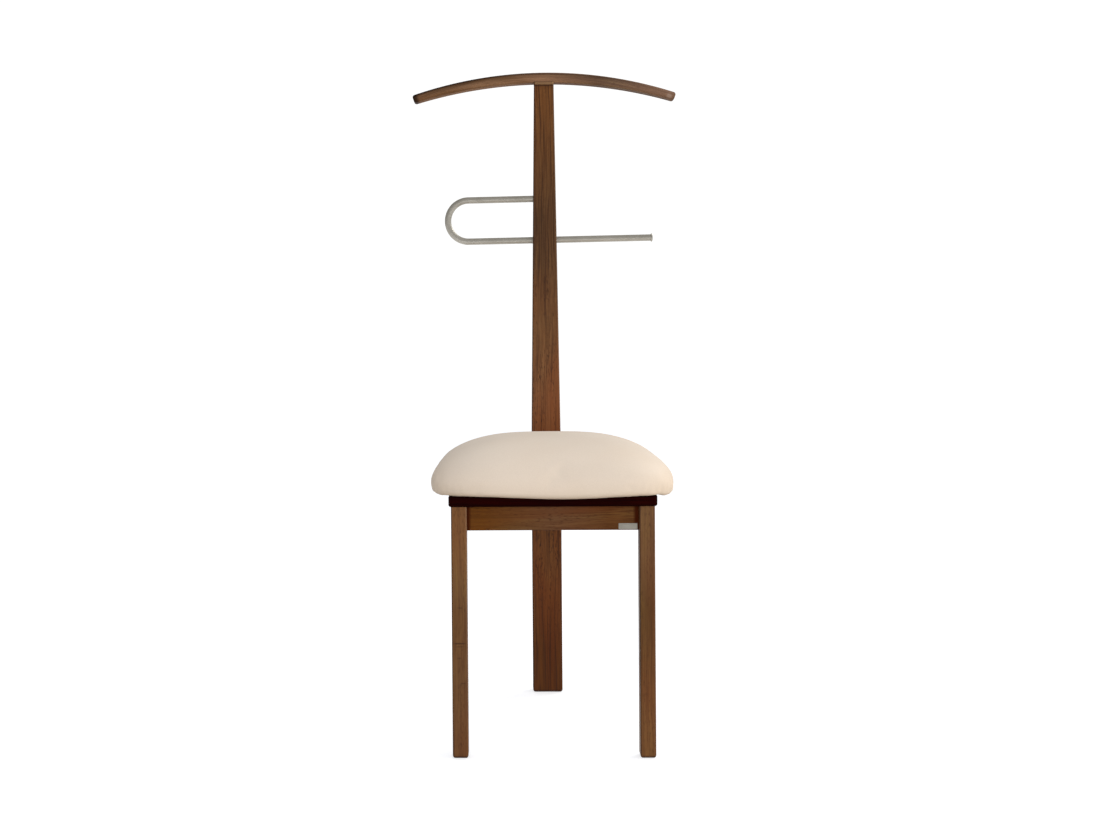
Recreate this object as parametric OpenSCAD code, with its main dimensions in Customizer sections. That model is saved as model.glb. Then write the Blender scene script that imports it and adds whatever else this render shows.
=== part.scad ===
// Clothes valet chair: a padded stool on two front legs, with a single rear post
// that runs from the floor up to a curved jacket hanger and carries a bent trouser bar.
// Millimetres, +Z up. The chair faces -Y. The origin is on the floor, under the middle
// of the overall box.

/* [Overall] */
// Height from the floor to the top of the hanger
total_h = 1050; // [950:5:1150]
// Front faces of the front legs to the front face of the rear post
leg_to_post = 340; // [300:5:380]

/* [Front legs] */
// Side of the square front legs
leg_w = 22.5; // [20:0.5:28]
// Length of the front legs, floor to seat board
leg_h = 360; // [320:5:400]
// Outer span of the two front legs
leg_span = 290; // [260:5:320]
// Rounding of the long edges of legs and post
edge_r = 2; // [1:0.5:3]
// Rounding of the feet
foot_r = 3; // [2:0.5:4]

/* [Rear post] */
// Width of the post below the seat
post_w = 50; // [44:1:60]
// Width of the post where it meets the hanger
post_top_w = 33; // [30:1:42]
// Thickness of the post, front to back
post_t = 24; // [22:1:30]
// Height at which the post starts to taper
taper_z = 400; // [380:10:460]

/* [Hanger] */
// Width of the hanger, tip to tip
hanger_w = 444; // [400:4:480]
// Radius of the hanger's upper arc
hanger_top_r = 704; // [600:4:900]
// Height of the hanger's section in the middle
hanger_mid_h = 17; // [15:0.5:24]
// Height of the hanger's section at the tips
hanger_tip_h = 14; // [12:0.5:19]
// Rounding of the hanger's long edges
hanger_edge_r = 5; // [3:0.5:6]

/* [Trouser bar] */
// Outer diameter of the tube
tube_d = 11; // [10:0.5:12]
// Wall of the tube
tube_wall = 1; // [0.8:0.1:1.5]
// Radius of the bend, on the tube's centre line
bend_r = 35; // [28:1:40]
// Height of the middle of the bend
bar_z = 803.5; // [740:0.5:860]
// Rise of the bar's free end, in degrees from level
bar_tilt = 0.8; // [0:0.1:2]
// Middle of the post to the outside of the bend
bar_left = 169.5; // [150:0.5:185]
// Middle of the post to the free end of the tube
bar_right = 179.5; // [150:0.5:190]
// Diameter of the end cap's rim
cap_d = 14; // [13:0.5:16]

/* [Seat frame] */
// Height of the front and side rails
rail_h = 35; // [30:1:45]
// Thickness of the front and side rails
rail_t = 14; // [12:0.5:16]
// Height of the rear rail that is bolted to the post
rear_rail_h = 60; // [50:1:70]
// Thickness of the rear rail
rear_rail_t = 18; // [16:1:20]
// Seat board overhang past the legs, at the front and at each side
board_overhang = 3.5; // [2:0.5:6]
// Thickness of the seat board
board_t = 16; // [15:1:19]

/* [Cushion] */
// Width of the cushion
cushion_w = 358; // [330:1:390]
// Cushion overhang in front of the leg faces
cushion_front = 30; // [15:1:40]
// Height of the cushion at its crown
cushion_h = 79; // [60:1:90]
// Height of the cushion's widest level above the board
cushion_belly = 19; // [12:1:24]
// Squareness of the cushion's plan: 2 is an ellipse, larger is squarer
plan_power = 5; // [3:0.5:6]
// Thickness of the cover with its wadding
cover_t = 1.5; // [1:0.5:3]
// Thickness of the plywood under the foam
ply_t = 12; // [9:1:15]

/* [Hidden] */
$fn = 64;

// Places along Y: the overall depth is centred on the origin
overall_d = cushion_front + leg_to_post + post_t;
post_back_y = overall_d/2;
post_front_y = post_back_y - post_t;
post_mid_y = post_back_y - post_t/2;
leg_face_y = post_front_y - leg_to_post;
leg_back_y = leg_face_y + leg_w;
rear_rail_front_y = post_front_y - rear_rail_t;

// Places along X and Z
leg_x = leg_span/2 - leg_w/2;
side_rail_in_x = leg_x - rail_t/2;
rail_mid_y = leg_back_y - rail_t/2;
rail_edge_r = 1.2;
board_z = leg_h + board_t;
board_edge_r = 3;
board_corner_r = 6;

// The hanger: its two arcs meet the section heights at the middle and at the tips
tip_x = hanger_w/2;
tip_sag = hanger_top_r - sqrt(pow(hanger_top_r, 2) - pow(tip_x, 2));
under_sag = tip_sag - hanger_mid_h + hanger_tip_h;
hanger_under_r = (pow(tip_x, 2) + pow(under_sag, 2))/(2*under_sag);
hanger_under_z = total_h - hanger_mid_h;
// Rounding of the hanger's tips, and how far the post is let into its underside
tip_r = 4;
housing = 1;
post_h = hanger_under_z + housing;

// The trouser bar: its two straight runs and the blind hole for the upper one
upper_z = bar_z + bend_r;
lower_z = bar_z - bend_r;
bend_x = -bar_left + tube_d/2 + bend_r;
blind_hole = 15;
upper_end_x = -post_width(upper_z)/2 + blind_hole;
cap_head = 3;
cap_rim = 1.2;
cap_plug = 10;

// Dowels, screws and bolts
fit_gap = 0.1;
through = 1;
dowel_d = 6;
dowel_in_leg = 10.5;
dowel_in_rail = 16;
front_dowel_z = [leg_h - 8, leg_h - 22];
side_dowel_z = [leg_h - 15, leg_h - 29];
hanger_dowel_x = 9;
hanger_dowel_z = [post_h - 20, post_h + 10];
screw_d = 4;
screw_head_d = 8;
screw_head_h = 2.5;
block_leg = 45;
block_nose = 9;
block_h = 30;
block_screw_at = 17;
board_screw_l = 40;
cushion_screw_at = [80, 95];
cushion_screw_l = 26;
bolt_d = 6;
bolt_l = 38.5;
bolt_head_d = 13;
bolt_head_h = 2.5;
bolt_sunk = 0.5;
bolt_z = [leg_h - 15, leg_h - 45];
hex_d = 4.6;
hex_depth = 1.6;
nut_d = 8.5;
nut_l = 15;
nut_head_h = 2;
nut_floor = 1;
lock_screw_d = 3.5;
lock_screw_l = 10;
lock_head_d = 7;
lock_head_h = 2;

// Cushion: the plan is a superellipse that shrinks up the dome and down to the board
cushion_to_post = 6;
cushion_back_y = post_front_y - cushion_to_post;
cushion_mid_y = (cushion_back_y - overall_d/2)/2;
cushion_half_x = cushion_w/2;
cushion_half_y = (cushion_back_y + overall_d/2)/2;
crown_power = 1.5;
shoulder_power = 2.7;
under_power = 3;
draw_in = 8;
hem_w = 40;
ply_inset = 14;
foam_gap = 0.3;
plan_points = 40;
dome_rings = 10;
belly_rings = 3;
foam_rings = 8;
pole_scale = 0.16;

corner_steps = 4;
edge_steps = 3;
hanger_rings = 36;

// ---- Outlines and lofts ----

// A rectangle w by d about the origin with corners of radius r, anticlockwise
function rounded_rect(w, d, r) =
    [for (q = [0:3], i = [0:corner_steps])
        let (a = 90*q + 90*i/corner_steps,
             side_x = (q == 0 || q == 3) ? 1 : -1,
             side_y = (q < 2) ? 1 : -1)
        [side_x*(w/2 - r) + r*cos(a), side_y*(d/2 - r) + r*sin(a)]];

// The points of a flat outline, lifted to height z and moved to [x, y]
function ring_at(outline, z, x = 0, y = 0) = [for (p = outline) [p[0] + x, p[1] + y, z]];

// Insets and heights of a rounded edge of radius r: [[inset, height], ...] from the face up
function round_over(r) =
    [for (i = [0:edge_steps]) let (a = 90*i/edge_steps) [r*(1 - sin(a)), r*(1 - cos(a))]];

// Faces between two neighbouring rings of n points, in triangles
function band(n, low, high) =
    [for (i = [0:n - 1], half = [0, 1])
        let (j = (i + 1) % n)
        half == 0 ? [low + i, high + i, high + j] : [low + i, high + j, low + j]];

// A solid through rings of the same number of points, closed by a flat cap at each end
module loft(rings) {
    n = len(rings[0]);
    last = (len(rings) - 1)*n;
    polyhedron(
        points = [for (ring = rings) each ring],
        faces = [
            [for (i = [0:n - 1]) i],
            for (k = [0:len(rings) - 2]) each band(n, k*n, (k + 1)*n),
            [for (i = [n - 1:-1:0]) last + i]]);
}

// Width of the rear post at height z
function post_width(z) =
    z < taper_z ? post_w
        : post_w - (post_w - post_top_w)*(z - taper_z)/(hanger_under_z - taper_z);

// ---- Small parts ----

// A round hole or rod along Y from y0 to y1
module rod_y(d, x, z, y0, y1) {
    translate([x, y1, z]) rotate([90, 0, 0]) cylinder(d = d, h = y1 - y0);
}

// A round hole or rod along X from x0 to x1
module rod_x(d, y, z, x0, x1) {
    translate([x0, y, z]) rotate([0, 90, 0]) cylinder(d = d, h = x1 - x0);
}

// A round hole or rod along Z from z0 to z1
module rod_z(d, x, y, z0, z1) {
    translate([x, y, z0]) cylinder(d = d, h = z1 - z0);
}

// A pan-head wood screw that points up, with its head's seat at the origin
module wood_screw(length) {
    cylinder(d = screw_d, h = length - screw_d);
    translate([0, 0, length - screw_d]) cylinder(d1 = screw_d, d2 = 0.8, h = screw_d);
    rotate_extrude()
        polygon([[0, 0], [screw_head_d/2, 0], [screw_head_d/2, -1],
            [screw_head_d/2 - 1.2, -screw_head_h], [1.6, -screw_head_h], [1.1, -1.2], [0, -1.2]]);
}

// A hexagonal socket across its corners, sunk from the origin up into a head
module hex_socket(across) {
    translate([0, 0, -through]) cylinder(d = across, h = hex_depth + through, $fn = 6);
}

// ---- Joints, shared by the pieces that they pass through ----

// Dowels between the front rail and a front leg, along X
module front_dowels(clear = 0) {
    for (side = [-1, 1], z = front_dowel_z) {
        inner = side*(leg_span/2 - leg_w - dowel_in_rail - clear);
        outer = side*(leg_span/2 - leg_w + dowel_in_leg + clear);
        rod_x(dowel_d + clear, rail_mid_y, z, min(inner, outer), max(inner, outer));
    }
}

// Dowels between a side rail and its front leg, along Y
module side_dowels(clear = 0) {
    for (side = [-1, 1], z = side_dowel_z)
        rod_y(dowel_d + clear, side*leg_x, z, leg_back_y - dowel_in_leg - clear,
            leg_back_y + dowel_in_rail + clear);
}

// Dowels between a side rail and the rear rail, along Y
module rear_dowels(clear = 0) {
    for (side = [-1, 1], z = side_dowel_z)
        rod_y(dowel_d + clear, side*leg_x, z, rear_rail_front_y - dowel_in_rail - clear,
            rear_rail_front_y + dowel_in_leg + clear);
}

// Dowels between the post and the hanger, along Z
module post_top_dowels(clear = 0) {
    for (side = [-1, 1])
        rod_z(dowel_d + clear, side*hanger_dowel_x, post_mid_y,
            hanger_dowel_z[0] - clear, hanger_dowel_z[1] + clear);
}

// Holes for the two bolts that hold the post to the rear rail
module bolt_holes(d) {
    for (z = bolt_z)
        rod_y(d, 0, z, rear_rail_front_y - through, post_back_y + through);
}

// Where the board screws stand: one in each corner block
module at_board_screws() {
    for (side = [-1, 1], end = [0, 1])
        translate([side*(side_rail_in_x - block_screw_at),
            end == 0 ? leg_back_y + block_screw_at : rear_rail_front_y - block_screw_at,
            leg_h - block_h])
            children();
}

// Where the cushion screws stand, under the seat board
module at_cushion_screws() {
    for (side = [-1, 1], end = [-1, 1])
        translate([side*cushion_screw_at[0], cushion_mid_y + end*cushion_screw_at[1], leg_h])
            children();
}

// ---- Rear post, hanger and trouser bar ----

// What belongs to the trouser bar, turned with it about the middle of the post
module tilted() {
    translate([0, post_mid_y, bar_z]) rotate([0, -bar_tilt, 0])
        translate([0, -post_mid_y, -bar_z]) children();
}

// The post: one plank, straight below the seat and tapered above it
module rear_post() {
    rings = concat(
        [for (s = round_over(foot_r))
            ring_at(rounded_rect(post_w - 2*s[0], post_t - 2*s[0], max(edge_r - s[0], 0.3)),
                s[1], 0, post_mid_y)],
        [for (z = [taper_z, post_h])
            ring_at(rounded_rect(post_width(z), post_t, edge_r), z, 0, post_mid_y)]);
    color("#6e4a30") difference() {
        loft(rings);
        tilted() {
            rod_x(tube_d + fit_gap, post_mid_y, lower_z, -post_w, post_w);
            rod_x(tube_d + fit_gap, post_mid_y, upper_z, -post_w, upper_end_x);
            rod_y(lock_screw_d + fit_gap, 0, lower_z, post_mid_y, post_back_y + through);
            rod_y(lock_head_d + fit_gap, 0, lower_z, post_back_y - lock_head_h,
                post_back_y + through);
        }
        post_top_dowels(fit_gap);
        bolt_holes(bolt_d + 2*fit_gap);
        for (z = bolt_z)
            rod_y(bolt_head_d + 1, 0, z, post_back_y - bolt_head_h - bolt_sunk,
                post_back_y + through);
    }
}

// Section of the hanger at a place x along it: [middle height, section height, lean]
function hanger_section(x) =
    let (top = total_h - hanger_top_r + sqrt(pow(hanger_top_r, 2) - x*x),
         under = hanger_under_z - hanger_under_r + sqrt(pow(hanger_under_r, 2) - x*x))
    [(top + under)/2, (top - under)*cos(asin(x/hanger_top_r)), asin(x/hanger_top_r)];

// A ring of the hanger: the rounded section stands square to the arc, drawn in by inset
function hanger_ring(x, inset) =
    let (s = hanger_section(x),
         outline = rounded_rect(post_t - 2*inset, s[1] - 2*inset, max(hanger_edge_r - inset, 0.5)))
    [for (p = outline)
        [x + p[1]*sin(s[2]), post_mid_y + p[0], s[0] + p[1]*cos(s[2])]];

// The hanger: an arched bar, thicker in the middle, with rounded edges and tips
module hanger_bar() {
    reach = tip_x - (hanger_tip_h/2 - tip_r)*tip_x/hanger_top_r;
    tips = round_over(tip_r);
    rings = concat(
        [for (s = tips) hanger_ring(-reach + s[1], s[0])],
        [for (i = [1:hanger_rings - 1])
            hanger_ring((reach - tip_r)*(2*i/hanger_rings - 1), 0)],
        [for (k = [edge_steps:-1:0]) hanger_ring(reach - tips[k][1], tips[k][0])]);
    color("#7b5a42") difference() {
        loft(rings);
        translate([0, post_mid_y, post_h - hanger_mid_h/2])
            cube([post_top_w, post_t + through, hanger_mid_h], center = true);
        post_top_dowels(fit_gap);
    }
}

module hanger_dowels() {
    color("#c9a77c") post_top_dowels();
}

// A straight run of tube along X at height z, from x0 to x1
module tube_run(z, x0, x1) {
    difference() {
        rod_x(tube_d, post_mid_y, z, x0, x1);
        rod_x(tube_d - 2*tube_wall, post_mid_y, z, x0 - through, x1 + through);
    }
}

// The half turn of tube that joins the two runs
module tube_bend() {
    translate([bend_x, post_mid_y, bar_z]) rotate([90, 0, 0]) rotate([0, 0, 90])
        rotate_extrude(angle = 180) translate([bend_r, 0]) difference() {
            circle(d = tube_d);
            circle(d = tube_d - 2*tube_wall);
        }
}

// The trouser bar: a tube bent to a U on its side, the lower run right through the post
module trouser_bar() {
    color("#9c978c") tilted() {
        tube_run(upper_z, bend_x, upper_end_x);
        tube_bend();
        difference() {
            tube_run(lower_z, bend_x, bar_right);
            rod_y(lock_screw_d + fit_gap, 0, lower_z, post_mid_y, post_mid_y + tube_d);
        }
    }
}

// The cap: a domed head with a rim, on a plug that fits the tube
module trouser_bar_cap() {
    dome_h = cap_head - cap_rim;
    dome_r = (pow(cap_d/2, 2) + pow(dome_h, 2))/(2*dome_h);
    color("#b5b3a6") tilted() translate([bar_right, post_mid_y, lower_z]) rotate([0, 90, 0]) {
        intersection() {
            cylinder(d = cap_d, h = cap_head);
            translate([0, 0, cap_head - dome_r]) sphere(r = dome_r, $fn = 96);
        }
        translate([0, 0, -cap_plug])
            cylinder(d = tube_d - 2*tube_wall - fit_gap, h = cap_plug);
    }
}

// The screw from behind that keeps the bar from sliding in the post
module bar_lock_screw() {
    color("#a9a69c") tilted() translate([0, post_back_y, lower_z]) rotate([90, 0, 0])
        difference() {
            union() {
                cylinder(d = lock_head_d, h = lock_head_h);
                cylinder(d = lock_screw_d, h = lock_screw_l);
            }
            hex_socket(3);
        }
}

// ---- Seat frame ----

// A front leg: square, with rounded edges and a rounded foot
module front_leg(side) {
    x = side*leg_x;
    y = leg_face_y + leg_w/2;
    rings = concat(
        [for (s = round_over(foot_r))
            ring_at(rounded_rect(leg_w - 2*s[0], leg_w - 2*s[0], max(edge_r - s[0], 0.3)),
                s[1], x, y)],
        [ring_at(rounded_rect(leg_w, leg_w, edge_r), leg_h, x, y)]);
    color("#6c4b2f") difference() {
        loft(rings);
        front_dowels(fit_gap);
        side_dowels(fit_gap);
    }
}

module front_leg_left() {
    front_leg(-1);
}

module front_leg_right() {
    front_leg(1);
}

// A rail of length l along X, h high and t thick, with eased edges, its top at the board
module rail_along_x(l, h, t, y) {
    translate([-l/2, y, leg_h - h/2]) rotate([90, 0, 90])
        linear_extrude(l) polygon(rounded_rect(t, h, rail_edge_r));
}

module front_rail() {
    color("#61412a") difference() {
        rail_along_x(leg_span - 2*leg_w, rail_h, rail_t, rail_mid_y);
        front_dowels(fit_gap);
    }
}

// A side rail, from the back of a front leg to the rear rail
module side_rail(side) {
    color("#61412a") difference() {
        translate([side*leg_x, rear_rail_front_y, leg_h - rail_h/2]) rotate([90, 0, 0])
            linear_extrude(rear_rail_front_y - leg_back_y)
                polygon(rounded_rect(rail_t, rail_h, rail_edge_r));
        side_dowels(fit_gap);
        rear_dowels(fit_gap);
    }
}

module side_rail_left() {
    side_rail(-1);
}

module side_rail_right() {
    side_rail(1);
}

// The rear rail, deeper than the others because the post is bolted to it
module rear_rail() {
    color("#61412a") difference() {
        rail_along_x(2*leg_x + rail_t, rear_rail_h, rear_rail_t, post_front_y - rear_rail_t/2);
        rear_dowels(fit_gap);
        bolt_holes(bolt_d + 2*fit_gap);
        for (z = bolt_z)
            rod_y(nut_d + fit_gap, 0, z, rear_rail_front_y - through,
                rear_rail_front_y + nut_l + fit_gap);
    }
}

// A glued corner block: a triangle with its two sharp ends and its corner cut off
module corner_block(side, y, facing) {
    translate([side*side_rail_in_x, y, leg_h - block_h]) scale([-side, facing, 1])
        difference() {
            linear_extrude(block_h)
                polygon([[0, 0], [block_leg, 0], [block_leg, block_nose],
                    [block_nose, block_leg], [0, block_leg]]);
            rod_z(screw_d + 2*fit_gap, block_screw_at, block_screw_at, -through,
                block_h + through);
        }
}

module front_corner_blocks() {
    color("#8a6a4a") for (side = [-1, 1]) corner_block(side, leg_back_y, 1);
}

module rear_corner_blocks() {
    color("#8a6a4a") for (side = [-1, 1]) corner_block(side, rear_rail_front_y, -1);
}

module frame_dowels() {
    color("#c9a77c") {
        front_dowels();
        side_dowels();
        rear_dowels();
    }
}

// The bolts go in from behind, with flat hex-socket heads let into the post
module post_bolts() {
    color("#8f8d86") for (z = bolt_z)
        translate([0, post_back_y - bolt_sunk, z]) rotate([90, 0, 0]) difference() {
            union() {
                cylinder(d = bolt_head_d, h = bolt_head_h);
                cylinder(d = bolt_d, h = bolt_l);
            }
            hex_socket(hex_d);
        }
}

// The sleeve nuts that the bolts screw into, with flat heads on the rear rail
module sleeve_nuts() {
    color("#8f8d86") for (z = bolt_z) translate([0, rear_rail_front_y, z]) rotate([-90, 0, 0])
        difference() {
            union() {
                translate([0, 0, -nut_head_h]) cylinder(d = bolt_head_d, h = nut_head_h);
                cylinder(d = nut_d, h = nut_l);
            }
            translate([0, 0, nut_floor]) cylinder(d = bolt_d + fit_gap, h = nut_l);
            translate([0, 0, -nut_head_h]) hex_socket(hex_d);
        }
}

// The dark seat board, with its upper and lower edges rounded over
module seat_board() {
    width = leg_span + 2*board_overhang;
    front = leg_face_y - board_overhang;
    depth = post_front_y - front;
    steps = round_over(board_edge_r);
    levels = concat([for (s = steps) s], [for (k = [edge_steps:-1:0])
        [steps[k][0], board_t - steps[k][1]]]);
    color("#2a0c08") difference() {
        loft([for (s = levels)
            ring_at(rounded_rect(width - 2*s[0], depth - 2*s[0], board_corner_r - s[0]),
                leg_h + s[1], 0, front + depth/2)]);
        at_board_screws()
            rod_z(screw_d + fit_gap, 0, 0, block_h - through, board_screw_l + fit_gap);
        at_cushion_screws()
            rod_z(screw_d + 2*fit_gap, 0, 0, -through, board_t + through);
    }
}

module board_screws() {
    color("#8f8d86") at_board_screws() wood_screw(board_screw_l);
}

// ---- Cushion ----

// Plan outline of the cushion with half sides a and b, anticlockwise
function plan(a, b) =
    [for (i = [0:plan_points - 1])
        let (t = 360*i/plan_points)
        [a*sign(cos(t))*pow(abs(cos(t)), 2/plan_power),
         b*sign(sin(t))*pow(abs(sin(t)), 2/plan_power)]];

// A ring of the cushion: scaled by k, then drawn in by inset, at height z
function plan_ring(k, inset, z) =
    ring_at(plan(cushion_half_x*k - inset, cushion_half_y*k - inset), z, 0, cushion_mid_y);

// Height of the dome above the belly where the plan is scaled by k
function dome_z(k, height) = height*pow(1 - pow(k, shoulder_power), 1/crown_power);

// Plan scales up the dome, closer together at the shoulder
function dome_scale(i, rings) = pole_scale + (1 - pole_scale)*pow(cos(90*i/rings), 0.8);

// Rings of the cushion's skin, inset from the outside, from the underside up to the crown
function skin_rings(inset, rings, base_z, drawn) =
    let (belly_z = board_z + cushion_belly,
         dome_h = cushion_h - cushion_belly - inset,
         drop = belly_z - base_z)
    concat(
        [for (i = [0:belly_rings]) let (a = 90*i/belly_rings)
            plan_ring(1, inset + drawn*(1 - pow(sin(a), 2/under_power)),
                belly_z - drop*pow(cos(a), 2/under_power))],
        [for (i = [1:rings])
            let (k = dome_scale(i, rings))
            plan_ring(k, inset*k, belly_z + dome_z(k, dome_h))]);

// The cover: one skin over the cushion, turned in under the plywood as a hem
module cushion_cover() {
    outer = concat([plan_ring(1, draw_in + hem_w, board_z)],
        skin_rings(0, dome_rings, board_z, draw_in));
    inner = concat([plan_ring(1, draw_in + hem_w, board_z + cover_t)],
        skin_rings(cover_t, dome_rings, board_z + cover_t, draw_in));
    n = plan_points;
    m = len(outer);
    color("#dcc6ae") polyhedron(
        points = [for (ring = concat(outer, inner)) each ring],
        faces = [
            for (k = [0:m - 2]) each band(n, k*n, (k + 1)*n),
            [for (i = [n - 1:-1:0]) (m - 1)*n + i],
            for (k = [0:m - 2]) each band(n, (m + k + 1)*n, (m + k)*n),
            [for (i = [0:n - 1]) (2*m - 1)*n + i],
            each band(n, m*n, 0)]);
}

// The foam: fills the cover, and is cut out below for the plywood that it is glued to
module cushion_foam() {
    inset = cover_t + foam_gap;
    color("#e8dfb0") difference() {
        loft(skin_rings(inset, foam_rings, board_z + inset, draw_in));
        translate([0, cushion_mid_y, board_z - 1])
            linear_extrude(cover_t + ply_t + 1) ply_outline(fit_gap);
    }
}

// Outline of the plywood in the cushion, larger by grow
module ply_outline(grow) {
    polygon(plan(cushion_half_x - ply_inset + grow, cushion_half_y - ply_inset + grow));
}

module cushion_base() {
    color("#c9a77c") difference() {
        translate([0, cushion_mid_y, board_z + cover_t]) linear_extrude(ply_t) ply_outline(0);
        at_cushion_screws() rod_z(screw_d + fit_gap, 0, 0, 0, cushion_screw_l + fit_gap);
    }
}

module cushion_screws() {
    color("#8f8d86") at_cushion_screws() wood_screw(cushion_screw_l);
}

// ---- Assembly ----

rear_post();
hanger_bar();
hanger_dowels();
trouser_bar();
trouser_bar_cap();
bar_lock_screw();
front_leg_left();
front_leg_right();
front_rail();
side_rail_left();
side_rail_right();
rear_rail();
front_corner_blocks();
rear_corner_blocks();
frame_dowels();
post_bolts();
sleeve_nuts();
seat_board();
board_screws();
cushion_base();
cushion_foam();
cushion_cover();
cushion_screws();
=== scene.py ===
"""Clothes valet chair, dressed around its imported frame.

A padded stool on two front legs, with a rear post that carries an arched hanger and a bent
trouser bar. Metres, +Z up, the chair faces -Y. Everything rides on the one body of the frame.
"""

import logging
import math
from dataclasses import dataclass
from enum import Enum
from functools import partial
from typing import Callable, Iterable, Sequence

import bmesh
import bpy
from bpy.types import ID, Material, Mesh, Node, NodeSocket, NodeTree, Object, World
from mathutils import Matrix, Vector


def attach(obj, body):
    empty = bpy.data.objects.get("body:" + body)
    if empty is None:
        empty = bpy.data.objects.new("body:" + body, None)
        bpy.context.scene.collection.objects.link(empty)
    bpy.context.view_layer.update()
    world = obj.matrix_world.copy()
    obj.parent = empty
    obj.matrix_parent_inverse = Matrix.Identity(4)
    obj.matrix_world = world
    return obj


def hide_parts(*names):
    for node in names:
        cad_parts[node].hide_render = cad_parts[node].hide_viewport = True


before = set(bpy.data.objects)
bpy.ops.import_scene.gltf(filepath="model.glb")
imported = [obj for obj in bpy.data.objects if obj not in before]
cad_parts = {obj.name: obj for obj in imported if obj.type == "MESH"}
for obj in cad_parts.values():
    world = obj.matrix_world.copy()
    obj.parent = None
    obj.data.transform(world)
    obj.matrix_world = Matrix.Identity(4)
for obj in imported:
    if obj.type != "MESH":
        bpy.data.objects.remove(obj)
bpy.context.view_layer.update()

log = logging.getLogger("valet_chair")

MM = 0.001
HAIR = 0.01 * MM  # less than any size that shows
QUARTER = math.pi / 2
BODY = "root"
Point = tuple[float, float, float]
Colour = tuple[float, float, float, float]
# A point of a lofted piece: x, y, z and how much painted shade its eased edge takes, up to 1, or
# painted highlight, below 0
LoftPoint = tuple[float, float, float, float]
# add_node for one tree
NodeMaker = Callable[..., Node]


# ---- Colour, nodes and meshes ----


def linear(code: str) -> Colour:
    """Turns an sRGB hex colour into linear light.

    Args:
        code: the colour, such as "#67452b".

    Returns:
        Red, green, blue and an alpha of 1.
    """
    channels = [int(code[i : i + 2], 16) / 255 for i in (1, 3, 5)]
    light = [c / 12.92 if c <= 0.04045 else ((c + 0.055) / 1.055) ** 2.4 for c in channels]
    return light[0], light[1], light[2], 1.0


def clamped(value: float) -> float:
    """Holds a share between 0 and 1."""
    return min(max(value, 0), 1)


def add_node(tree: NodeTree, kind: str, inputs: dict | tuple = (), **settings: object) -> Node:
    """Adds one node to a tree, with its settings, its values and its links.

    Args:
        tree: the shader or geometry tree.
        kind: the node's type name.
        inputs: what goes into its sockets, by name or in their order: a value, a socket, or a
            node, whose first output is meant.
        settings: properties of the node itself.

    Returns:
        The new node.
    """
    made = tree.nodes.new(kind)
    for name, value in settings.items():
        setattr(made, name, value)
    if not isinstance(inputs, dict):
        shown = (i for i, socket in enumerate(made.inputs) if socket.enabled)
        inputs = dict(zip(shown, inputs))
    for key, value in inputs.items():
        if isinstance(value, Node):
            value = next(socket for socket in value.outputs if socket.enabled)
        if isinstance(value, NodeSocket):
            tree.links.new(value, made.inputs[key])
        else:
            made.inputs[key].default_value = value
    return made


def blank_tree(owner: Material | World) -> NodeMaker:
    """Empties the node tree of a material or a world.

    Args:
        owner: the material or world.

    Returns:
        The function that adds a node to its tree.
    """
    owner.use_nodes = True
    owner.node_tree.nodes.clear()
    return partial(add_node, owner.node_tree)


def new_object(name: str, data: ID) -> Object:
    """Links a new object into the scene, at the origin.

    Args:
        name: the object's name.
        data: its mesh, lamp or lens.

    Returns:
        The object.
    """
    made = bpy.data.objects.new(name, data)
    bpy.context.scene.collection.objects.link(made)
    return made


def outwards(mesh: Mesh) -> None:
    """Turns all faces of a closed mesh outwards.

    Args:
        mesh: the mesh.
    """
    shape = bmesh.new()
    shape.from_mesh(mesh)
    bmesh.ops.recalc_face_normals(shape, faces=shape.faces)
    shape.to_mesh(mesh)
    shape.free()


def mesh_object(
    name: str,
    points: Iterable[Sequence[float]],
    faces: Iterable[Sequence[int]] = (),
    edges: Sequence[tuple[int, int]] = (),
) -> Object:
    """Makes an object from points, with its faces turned outwards.

    Args:
        name: the object's name.
        points: x, y and z of each point.
        faces: the point numbers of each face.
        edges: the point numbers of each edge that is on no face.

    Returns:
        The object, at the origin.
    """
    mesh = bpy.data.meshes.new(name)
    mesh.from_pydata([tuple(p[:3]) for p in points], edges, [tuple(f) for f in faces])
    outwards(mesh)
    return new_object(name, mesh)


def bake_modifiers(piece: Object) -> None:
    """Turns a piece's shape with its modifiers into its plain mesh.

    Args:
        piece: the object.
    """
    bpy.context.view_layer.update()
    graph = bpy.context.evaluated_depsgraph_get()
    shaped = bpy.data.meshes.new_from_object(piece.evaluated_get(graph))
    piece.modifiers.clear()
    piece.data = shaped


def cut_out(piece: Object, shape: bmesh.types.BMesh, crossing: bool = False) -> None:
    """Cuts a shape out of a piece.

    Args:
        piece: the object.
        shape: what is cut out of it. It is used up.
        crossing: whether parts of the shape cross each other.
    """
    mesh = bpy.data.meshes.new("cutter")
    shape.to_mesh(mesh)
    shape.free()
    cut = piece.modifiers.new("cut", "BOOLEAN")
    cut.operation = "DIFFERENCE"
    cut.solver = "EXACT"
    cut.use_self = crossing
    cut.object = cutter = new_object("cutter", mesh)
    bake_modifiers(piece)
    bpy.data.objects.remove(cutter)


def smooth_with_sharps(piece: Object, angle: float = 32.0) -> None:
    """Shades a piece smooth up to an angle, with its flat faces kept flat.

    Args:
        piece: the object.
        angle: edges sharper than this many degrees stay crisp.
    """
    piece.data.shade_smooth()
    piece.data.set_sharp_from_angle(angle=math.radians(angle))
    weighted = piece.modifiers.new("flat_faces_first", "WEIGHTED_NORMAL")
    weighted.keep_sharp = True
    weighted.weight = 100
    bake_modifiers(piece)


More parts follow.
